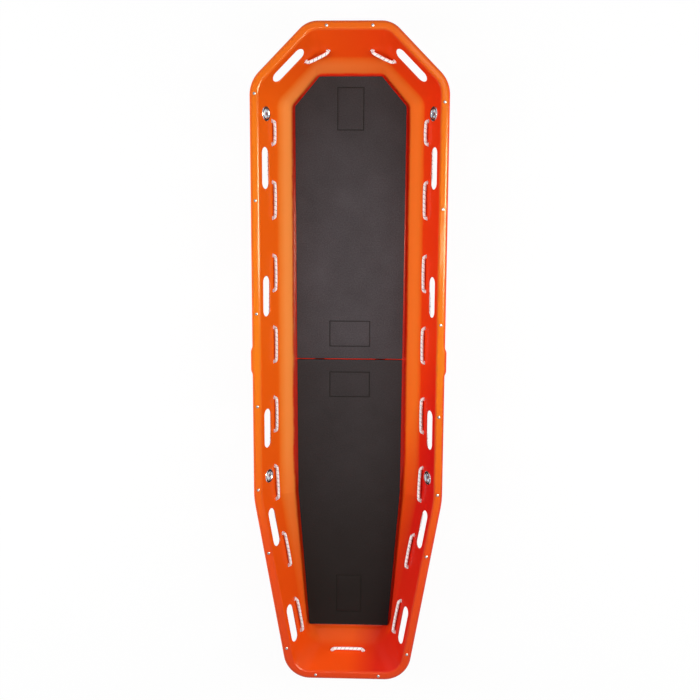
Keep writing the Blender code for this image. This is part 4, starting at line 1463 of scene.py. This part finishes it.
def make_screws(zinc):
    turn = random.Random(7)
    reach = RIM_TOP - (TUBE_Z + TUBE_RADIUS) + SCREW_REACH
    short = SLEEVE_RADIUS - TUBE_RADIUS + SCREW_REACH
    groups = (
        ("rim_screws", reach, list(screw_places()), RIM_TOP + GAP / 2, 0),
        ("sleeve_screws", short, list(sleeve_screw_places()), TUBE_Z - SLEEVE_RADIUS - GAP / 2, math.pi),
    )
    for name, shank, places, z, flip in groups:
        template = screw_shape(shank)
        shape = bmesh.new()
        for _, x, y in places:
            old = set(shape.verts)
            shape.from_mesh(template)
            fresh = [v for v in shape.verts if v not in old]
            matrix = Matrix.Translation((x, y, z)) @ Matrix.Rotation(flip, 4, "X")
            matrix = matrix @ Matrix.Rotation(turn.uniform(0, math.pi / 2), 4, "Z")
            bmesh.ops.transform(shape, matrix=matrix, verts=fresh)
        nodes = [place[0] for place in places]
        piece = add_piece(name, as_mesh(name, shape, outwards=False), zinc, sharp=35, nodes=nodes)


def make_eyelets(steel):
    b, t = EYELET_BORE, EYELET_FLANGE_THICKNESS
    outside = b + EYELET_BARREL_WALL
    end = -(WALL + 2 * GAP + EYELET_PROJECTION + COLLAR_FLANGE_THICKNESS)
    bush = [
        (b, end, 0.0),
        (outside, end, 0.35),
        (outside, GAP, 0.0),
        (EYELET_FLANGE, GAP, 0.3),
        (EYELET_FLANGE, GAP + t * 0.5, 0.3),
        (EYELET_FLANGE - EYELET_SLOPE, GAP + t, 1.0),
        (b + EYELET_MOUTH, GAP + t, 1.0),
        (b, GAP + 0.2 * t, 0.8),
    ]
    inside = outside + GAP
    top = -(WALL + GAP)
    low = top - COLLAR_FLANGE_THICKNESS
    collar = [
        (inside, top, 0.0),
        (inside, top - EYELET_PROJECTION, 0.3),
        (COLLAR_NECK, top - EYELET_PROJECTION, 0.8),
        (COLLAR_NECK, low, 0.6),
        (COLLAR_FLANGE, low, 0.8),
        (COLLAR_FLANGE, top, 0.0),
    ]
    for where, frame_at in eyelet_frames():
        for kind, profile in (("eyelet_bush", bush), ("eyelet_collar", collar)):
            shape = bmesh.new()
            turned(shape, rounded(profile, EYELET_EDGE_ROUND), 56, frame_at)
            name = f"{kind}_{where}"
            piece = add_piece(name, as_mesh(name, shape), steel, sharp=45, nodes=[name])


# Grab line


def stretch_stations(length, start=ROPE_RISE, bow=ROPE_BOW):
    """(distance from the first hole, height off the wall) along one stretch of rope."""
    angles = [math.radians(a) for a in ROPE_BEND_ANGLES]
    rise = [(ROPE_BEND * (1 - math.cos(a)), start + ROPE_BEND * math.sin(a)) for a in angles]
    full = start + ROPE_BEND
    inner = length - 2 * ROPE_BEND
    count = max(1, round(inner / ROPE_BOW_STEP) - 1)
    middle = []
    for i in range(count):
        share = (i + 1) / (count + 1)
        middle.append((ROPE_BEND + inner * share, full + bow * math.sin(math.pi * share)))
    return rise + middle + [(length - s, h) for s, h in reversed(rise)]


def rope_route():
    line = WallLine(ROPE_Z)
    holes = rope_holes(line)
    points = []

    def inside(start, end):
        a, na, _ = line.frame(start)
        b, nb, _ = line.frame(end)
        length = (b - a).length
        for s, h in stretch_stations(length, ROPE_INNER_RISE, ROPE_INNER_BOW):
            normal = na.lerp(nb, s / length).normalized()
            points.append(a.lerp(b, s / length) + normal * h)

    def outside(start, stations):
        for s, h in stations:
            point, normal, _ = line.frame(start + s)
            points.append(point - normal * (WALL + h))

    def through(distance):
        point, normal, _ = line.frame(distance)
        points.append(point - normal * (WALL / 2))

    head = stretch_stations(2 * holes[0])
    sleeve = ROPE_SLEEVE_LENGTH / 2
    full = ROPE_RISE + ROPE_BEND
    outside(0, [(0, full), (sleeve, full)] + [(s - holes[0], h) for s, h in head[-3:]])
    for i, (start, end) in enumerate(zip(holes, holes[1:])):
        through(start)
        if i % 2 == 0:
            inside(start, end)
        else:
            outside(start, stretch_stations(end - start))
    through(holes[-1])
    outside(holes[-1], [(s, h) for s, h in head[:3]] + [(holes[0] - sleeve, full), (holes[0], full)])
    points[0].x = ROPE_END_GAP / 2
    points[-1].x = -ROPE_END_GAP / 2
    return points


def smooth_path(points, spacing):
    """Points at even spacing on a smooth curve through the given ones."""
    dense = []
    for i in range(len(points) - 1):
        p0, p1 = points[max(i - 1, 0)], points[i]
        p2, p3 = points[i + 1], points[min(i + 2, len(points) - 1)]
        span = (p2 - p1).length
        m1 = (p2 - p0) * (span / max((p2 - p1).length + (p1 - p0).length, 1e-9))
        m2 = (p3 - p1) * (span / max((p3 - p2).length + (p2 - p1).length, 1e-9))
        steps = max(2, round(span / MM))
        for k in range(steps):
            t = k / steps
            a = 2 * t**3 - 3 * t**2 + 1
            b = t**3 - 2 * t**2 + t
            c = -2 * t**3 + 3 * t**2
            d = t**3 - t**2
            dense.append(p1 * a + m1 * b + p2 * c + m2 * d)
    dense.append(points[-1])
    made, gone = [dense[0]], 0.0
    for a, b in zip(dense, dense[1:]):
        gone += (b - a).length
        if gone >= spacing:
            made.append(b)
            gone = 0.0
    made[-1] = dense[-1]
    return made


def make_rope(braid, sleeve_material):
    path = smooth_path(rope_route(), ROPE_STEP)
    shape = bmesh.new()
    skin_rings(shape, tube_rings(path, ROPE_RADIUS, ROPE_SIDES), closed=True)
    shape.verts.index_update()
    lay = shape.loops.layers.uv.new("lay")
    distance = [0.0]
    for a, b in zip(path, path[1:]):
        distance.append(distance[-1] + (b - a).length)
    for face in shape.faces:
        if len(face.verts) != 4:
            continue
        spots = [divmod(loop.vert.index, ROPE_SIDES) for loop in face.loops]
        wraps = {k for _, k in spots} == {0, ROPE_SIDES - 1}
        for loop, (ring, k) in zip(face.loops, spots):
            turn = k + ROPE_SIDES if wraps and k == 0 else k
            loop[lay].uv = (turn / ROPE_SIDES, distance[ring] / TRACER_PITCH)
    mesh = as_mesh("grab_line", shape)
    piece = add_piece("grab_line", mesh, braid, sharp=60, nodes=["grab_line"])
    inner = ROPE_RADIUS + GAP
    outer = inner + ROPE_SLEEVE_WALL
    half = ROPE_SLEEVE_LENGTH / 2
    low, high = -half + ROPE_SLEEVE_END, half - ROPE_SLEEVE_END
    profile = [(inner, -half), (inner + MM, -half), (outer, low)]
    for i in range(1, ROPE_SLEEVE_RIPPLES + 1):
        profile.append((outer - ROPE_SLEEVE_RIPPLE * (i % 2), low + i * ROPE_SLEEVE_PITCH))
    profile += [(outer, high), (inner + MM, half), (inner, half)]
    shape = bmesh.new()
    middle = (path[0] + path[-1]) / 2
    turned(shape, profile, 32, Matrix.Translation(middle) @ Matrix.Rotation(math.pi / 2, 4, "Y"))
    name = "rope_joining_sleeve"
    piece = add_piece(name, as_mesh(name, shape), sleeve_material, sharp=40, nodes=[name])


# Mat


def patch_places():
    """(name, mat, middle y, width, length) of each hook-and-loop pair."""
    return (
        ("head_end", "head", PATCH_END_Y, PATCH_SHORT, PATCH_LONG),
        ("head_middle", "head", MAT_SEAM_Y + PATCH_FROM_SEAM, PATCH_LONG, PATCH_SHORT),
        ("foot_middle", "foot", MAT_SEAM_Y - PATCH_FROM_SEAM, PATCH_LONG, PATCH_SHORT),
        ("foot_end", "foot", -PATCH_END_Y, PATCH_SHORT, PATCH_LONG),
    )


def mat_outline(which, inset, steps=4):
    c = inset_corners(FLOOR_CORNERS, MAT_MARGIN + inset)

    def side_x(y):
        return c[2][0] + (c[1][0] - c[2][0]) * (y - c[2][1]) / (c[1][1] - c[2][1])

    if which == "head":
        seam = MAT_SEAM_Y + MAT_SEAM_WIDTH / 2 + inset
        right = [(side_x(seam), seam), c[1], c[0]]
    else:
        seam = MAT_SEAM_Y - MAT_SEAM_WIDTH / 2 - inset
        right = [c[3], c[2], (side_x(seam), seam)]
    corners = right + [(-x, y) for x, y in reversed(right)]
    made = []
    for i, corner in enumerate(corners):
        radius = max(0.4 * MM, MAT_CORNER - inset)
        made += corner_arc(corners[i - 1], corner, corners[(i + 1) % len(corners)], radius, steps)
    return made


def stitch_distance(which, x, y):
    """How far a point is from the nearest line of stitching on this half."""
    nearest = 1.0
    for _, mat, middle, width, length in patch_places():
        if mat != which:
            continue
        w, h = width / 2 - STITCH_MARGIN, length / 2 - STITCH_MARGIN
        dx, dy = abs(x) - w, abs(y - middle) - h
        if dx > 0 or dy > 0:
            away = math.hypot(max(dx, 0), max(dy, 0))
        else:
            away = min(-dx, -dy)
        nearest = min(nearest, away)
    return nearest


def mat_levels(bottom, top):
    """(inset, height) pairs up the mat's edge, undercut at the floor's fillet and rounded above."""
    levels = [
        (MAT_UNDERCUT, bottom),
        (MAT_UNDERCUT * 0.3, bottom + MAT_UNDERCUT * 0.45),
        (0, bottom + MAT_UNDERCUT),
    ]
    for i in range(5):
        a = math.pi / 2 * i / 4
        levels.append((MAT_ROUND * (1 - math.cos(a)), top - MAT_ROUND * (1 - math.sin(a))))
    return levels


def divide_mat(shape, patches):
    """Cuts the mat's faces by a grid, with closer lines along the stitching."""
    lines_x = {round(i * MAT_GRID, 1) for i in range(-12, 13)}
    lines_y = {round(i * MAT_GRID, 1) for i in range(-60, 61)}
    for _, _, middle, width, length in patches:
        for side in (1, -1):
            for off in CHANNEL_LINES:
                lines_x.add(round((side * (width / 2 - STITCH_MARGIN)) / MM + off, 2))
                lines_y.add(round((middle + side * (length / 2 - STITCH_MARGIN)) / MM + off, 2))
    for axis, values in ((0, lines_x), (1, lines_y)):
        for value in sorted(values):
            point, normal = Vector(), Vector()
            point[axis] = value * MM
            normal[axis] = 1
            geom = shape.verts[:] + shape.edges[:] + shape.faces[:]
            bmesh.ops.bisect_plane(shape, geom=geom, dist=0.02 * MM, plane_co=point, plane_no=normal)


def press_stitching(shape, which, top):
    """Sinks the top along the stitching, and makes it swell a little elsewhere."""
    layer = SWELLING_LAYERS[which]
    for vert in shape.verts:
        x, y, z = vert.co
        if z > top - 0.05 * MM:
            away = stitch_distance(which, x, y)
            dip = CHANNEL_DEPTH * max(0.0, 1 - away / CHANNEL_REACH) ** CHANNEL_FALL
            sag = SAG_DEPTH * math.exp(-((away / SAG_REACH) ** 2))
            spot = Vector((x * SWELLINGS_PER_M, y * SWELLINGS_PER_M, layer))
            swellings = SWELLINGS * noise.noise(spot)
            vert.co.z = z - dip - sag + swellings - SWELLINGS


def make_mats(foam, thread, hook, loop_pile):
    bottom = FLOOR_Z + GAP
    top = bottom + MAT_THICKNESS
    levels = mat_levels(bottom, top)
    pocket_top = bottom + 2 * PATCH_THICKNESS + 2 * GAP
    for which in ("head", "foot"):
        shape = bmesh.new()
        rings = [[Vector((p.x, p.y, z)) for p in mat_outline(which, inset)] for inset, z in levels]
        skin_rings(shape, rings, closed=True)
        patches = [p for p in patch_places() if p[1] == which]
        divide_mat(shape, patches)
        press_stitching(shape, which, top)
        mat = helper_object("foam", as_mesh("foam", shape))
        cuts = bmesh.new()
        for _, _, y, width, length in patches:
            made = bmesh.ops.create_cube(cuts, size=1)["verts"]
            size = Matrix.Diagonal((width + 2 * GAP, length + 2 * GAP, 2 * (pocket_top - bottom), 1))
            bmesh.ops.transform(cuts, matrix=Matrix.Translation((0, y, bottom)) @ size, verts=made)
        cutter = helper_object("pockets", as_mesh("pockets", cuts))
        carve(mat, cutter)
        mesh = applied(mat)
        bpy.data.objects.remove(cutter)
        body = f"{which}_mat_half"
        channel = mesh.attributes.new("sewn_channel", "FLOAT", "POINT")
        for vert, value in zip(mesh.vertices, channel.data):
            if vert.co.z > top - CHANNEL_BAND:
                away = stitch_distance(which, vert.co.x, vert.co.y)
                value.value = max(0.0, 1 - away / CHANNEL_SHADE)
        piece = add_piece(f"{which}_mat_board", mesh, foam, body, sharp=50, nodes=[f"{which}_mat"])
        make_stitches(which, patches, top, thread, body)
        for name, _, y, width, length in patches:
            low = bottom + PATCH_THICKNESS + GAP
            make_tape(f"loop_patch_{name}", y, width, length, low, loop_pile, body)
            make_tape(f"hook_patch_{name}", y, width, length, bottom, hook, BASKET)


def make_tape(node, y, width, length, low, material, body):
    """A rectangle of tape with rounded corners and edges."""
    w, h, high = width / 2, length / 2, low + PATCH_THICKNESS
    levels = (
        (PATCH_LOW_EDGE, low),
        (0, low + PATCH_LOW_EDGE),
        (0, high - PATCH_TOP_EDGE),
        (PATCH_TOP_EDGE, high),
    )
    rings = []
    for inset, z in levels:
        rings.append(rounded_box(0, y, w - inset, h - inset, PATCH_CORNER, z))
    shape = bmesh.new()
    skin_rings(shape, rings, closed=True)
    piece = add_piece(f"{node}_tape", as_mesh(node, shape), material, body, sharp=40, nodes=[node])


def make_stitches(which, patches, top, thread, body):
    """Short stitches of thread along each sewn rectangle, sunk in the foam."""
    shape = bmesh.new()
    for _, _, middle, width, length in patches:
        w, h = width / 2 - STITCH_MARGIN, length / 2 - STITCH_MARGIN
        corners = [(-w, middle - h), (w, middle - h), (w, middle + h), (-w, middle + h)]
        for (ax, ay), (bx, by) in zip(corners, corners[1:] + corners[:1]):
            run = math.hypot(bx - ax, by - ay)
            count = round(run / STITCH_PITCH)
            for i in range(count):
                share = (i + 0.5) / count
                x, y = ax + (bx - ax) * share, ay + (by - ay) * share
                where = Matrix.Translation((x, y, top - CHANNEL_DEPTH))
                turn = Matrix.Rotation(math.atan2(by - ay, bx - ax), 4, "Z")
                bmesh.ops.create_uvsphere(
                    shape,
                    u_segments=6,
                    v_segments=4,
                    radius=STITCH_BALL,
                    matrix=where @ turn @ Matrix.Diagonal(STITCH_SHAPE),
                )
    piece = add_piece(f"{which}_mat_stitching", as_mesh("stitching", shape), thread, body, sharp=0)


# Studio


SENSOR_WIDTH = 36
PHOTO_PIXELS = 700
FOCAL_PIXELS = 900
CAMERA_PLACE = (0.1000, 0.4807, 3.0929)
CAMERA_TURN = (-0.1444, 0.0331, 0.0045)
NEUTRAL = (1.0, 1.0, 1.0)
WARM = (1.0, 0.86, 0.58)

# Each lamp's name, place, aim, watts, width, length, tint, and whether it lights matte surfaces and
# shows in glossy ones. The fills light the object softly from both sides. The glints only draw the long
# highlights on the rim.
LAMPS = (
    ("right_fill", (2.5, 0.1, 2.0), (0.0, 0.0, 0.1), 56, 0.4, 2.0, NEUTRAL, True, False),
    ("left_fill", (-2.5, 0.1, 2.0), (0.0, 0.0, 0.1), 64, 0.4, 2.0, NEUTRAL, True, False),
    ("key_light", (0.8, 1.6, 3.0), (0.0, 0.1, 0.1), 10, 0.9, 0.9, NEUTRAL, True, True),
    ("right_glint", (2.0, 0.5, 2.6), (0.0, 0.3, 0.1), 330, 1.0, 2.2, WARM, False, True),
    ("top_glint", (0.55, 0.3, 3.35), (0.3, 0.3, 0.1), 36, 0.2, 2.1, WARM, False, True),
)
WORLD_STRENGTH = 0.32
FLOOR_GLOW = 0.95  # of what the eye sees of the floor, so that its shadow stays


def seen_directly(material):
    """1 for camera, glossy and transmission rays, which show the white background, else 0."""
    path = add_node(material, "ShaderNodeLightPath")
    shown = path.outputs["Is Camera Ray"]
    for ray in ("Is Glossy Ray", "Is Transmission Ray"):
        shown = add_node(
            material, "ShaderNodeMath", {"operation": "MAXIMUM"}, {0: shown, 1: path.outputs[ray]}
        ).outputs[0]
    return shown


def make_floor():
    shape = bmesh.new()
    below = Matrix.Translation((0, 0, -GAP))
    bmesh.ops.create_grid(shape, x_segments=1, y_segments=1, size=40, matrix=below)
    floor = helper_object("studio_floor", as_mesh("studio_floor", shape, outwards=False))
    made, shader = new_material("matte_white_floor", Roughness=0.9)
    shader.inputs["Base Color"].default_value = colour("#F6F6F6")
    glow = add_node(made, "ShaderNodeEmission", inputs={"Color": grey(1.0), "Strength": 1.0})
    share = add_node(
        made, "ShaderNodeMath", {"operation": "MULTIPLY"}, {0: seen_directly(made), 1: FLOOR_GLOW}
    )
    both = add_node(
        made,
        "ShaderNodeMixShader",
        inputs={0: share.outputs[0], 1: shader.outputs[0], 2: glow.outputs[0]},
    )
    output = next(n for n in made.node_tree.nodes if n.bl_idname == "ShaderNodeOutputMaterial")
    made.node_tree.links.new(both.outputs[0], output.inputs["Surface"])
    floor.data.materials.append(made)


def make_lamps():
    for name, place, aim, watts, width, length, tint, lights_up, reflects in LAMPS:
        lamp = bpy.data.lights.new(name, "AREA")
        lamp.shape = "RECTANGLE"
        lamp.energy = watts
        lamp.color = tint
        lamp.size = width
        lamp.size_y = length
        holder = bpy.data.objects.new(name, lamp)
        bpy.context.scene.collection.objects.link(holder)
        holder.visible_diffuse = lights_up
        holder.visible_glossy = reflects
        holder.location = place
        away = Vector(place) - Vector(aim)
        holder.rotation_euler = away.to_track_quat("Z", "Y").to_euler()


def make_world():
    world = bpy.data.worlds.new("studio_air")
    world.use_nodes = True
    bpy.context.scene.world = world
    world.node_tree.nodes.clear()
    soft = add_node(
        world, "ShaderNodeBackground", inputs={"Color": grey(1.0), "Strength": WORLD_STRENGTH}
    )
    white = add_node(world, "ShaderNodeBackground", inputs={"Color": grey(1.0), "Strength": 1.0})
    choice = add_node(
        world,
        "ShaderNodeMixShader",
        inputs={0: seen_directly(world), 1: soft.outputs[0], 2: white.outputs[0]},
    )
    add_node(world, "ShaderNodeOutputWorld", inputs={"Surface": choice.outputs[0]})


def make_camera():
    lens = bpy.data.cameras.new("photo_camera")
    lens.sensor_width = SENSOR_WIDTH
    lens.lens = FOCAL_PIXELS * SENSOR_WIDTH / PHOTO_PIXELS
    lens.clip_end = 50
    camera = bpy.data.objects.new("photo_camera", lens)
    bpy.context.scene.collection.objects.link(camera)
    camera.location = CAMERA_PLACE
    camera.rotation_euler = CAMERA_TURN
    bpy.context.scene.camera = camera


def main():
    make_camera()
    make_floor()
    make_lamps()
    make_world()
    steel = galvanised_steel()
    stainless = turned_stainless()
    make_shell(moulded_polyethylene())
    make_frame(steel)
    make_screws(zinc_plating())
    make_eyelets(stainless)
    make_rope(polyester_braid(), shrunk_polyolefin())
    hook = nylon_tape("nylon_hook_tape", "#0B0B0C", "#2A2A2C", 900.0, 0.8 * MM)
    loop_pile = nylon_tape("nylon_loop_tape", "#121214", "#323236", 1500.0, 0.5 * MM)
    make_mats(closed_cell_foam(), bonded_thread(), hook, loop_pile)
    bpy.context.scene.view_settings.view_transform = "Standard"


main()
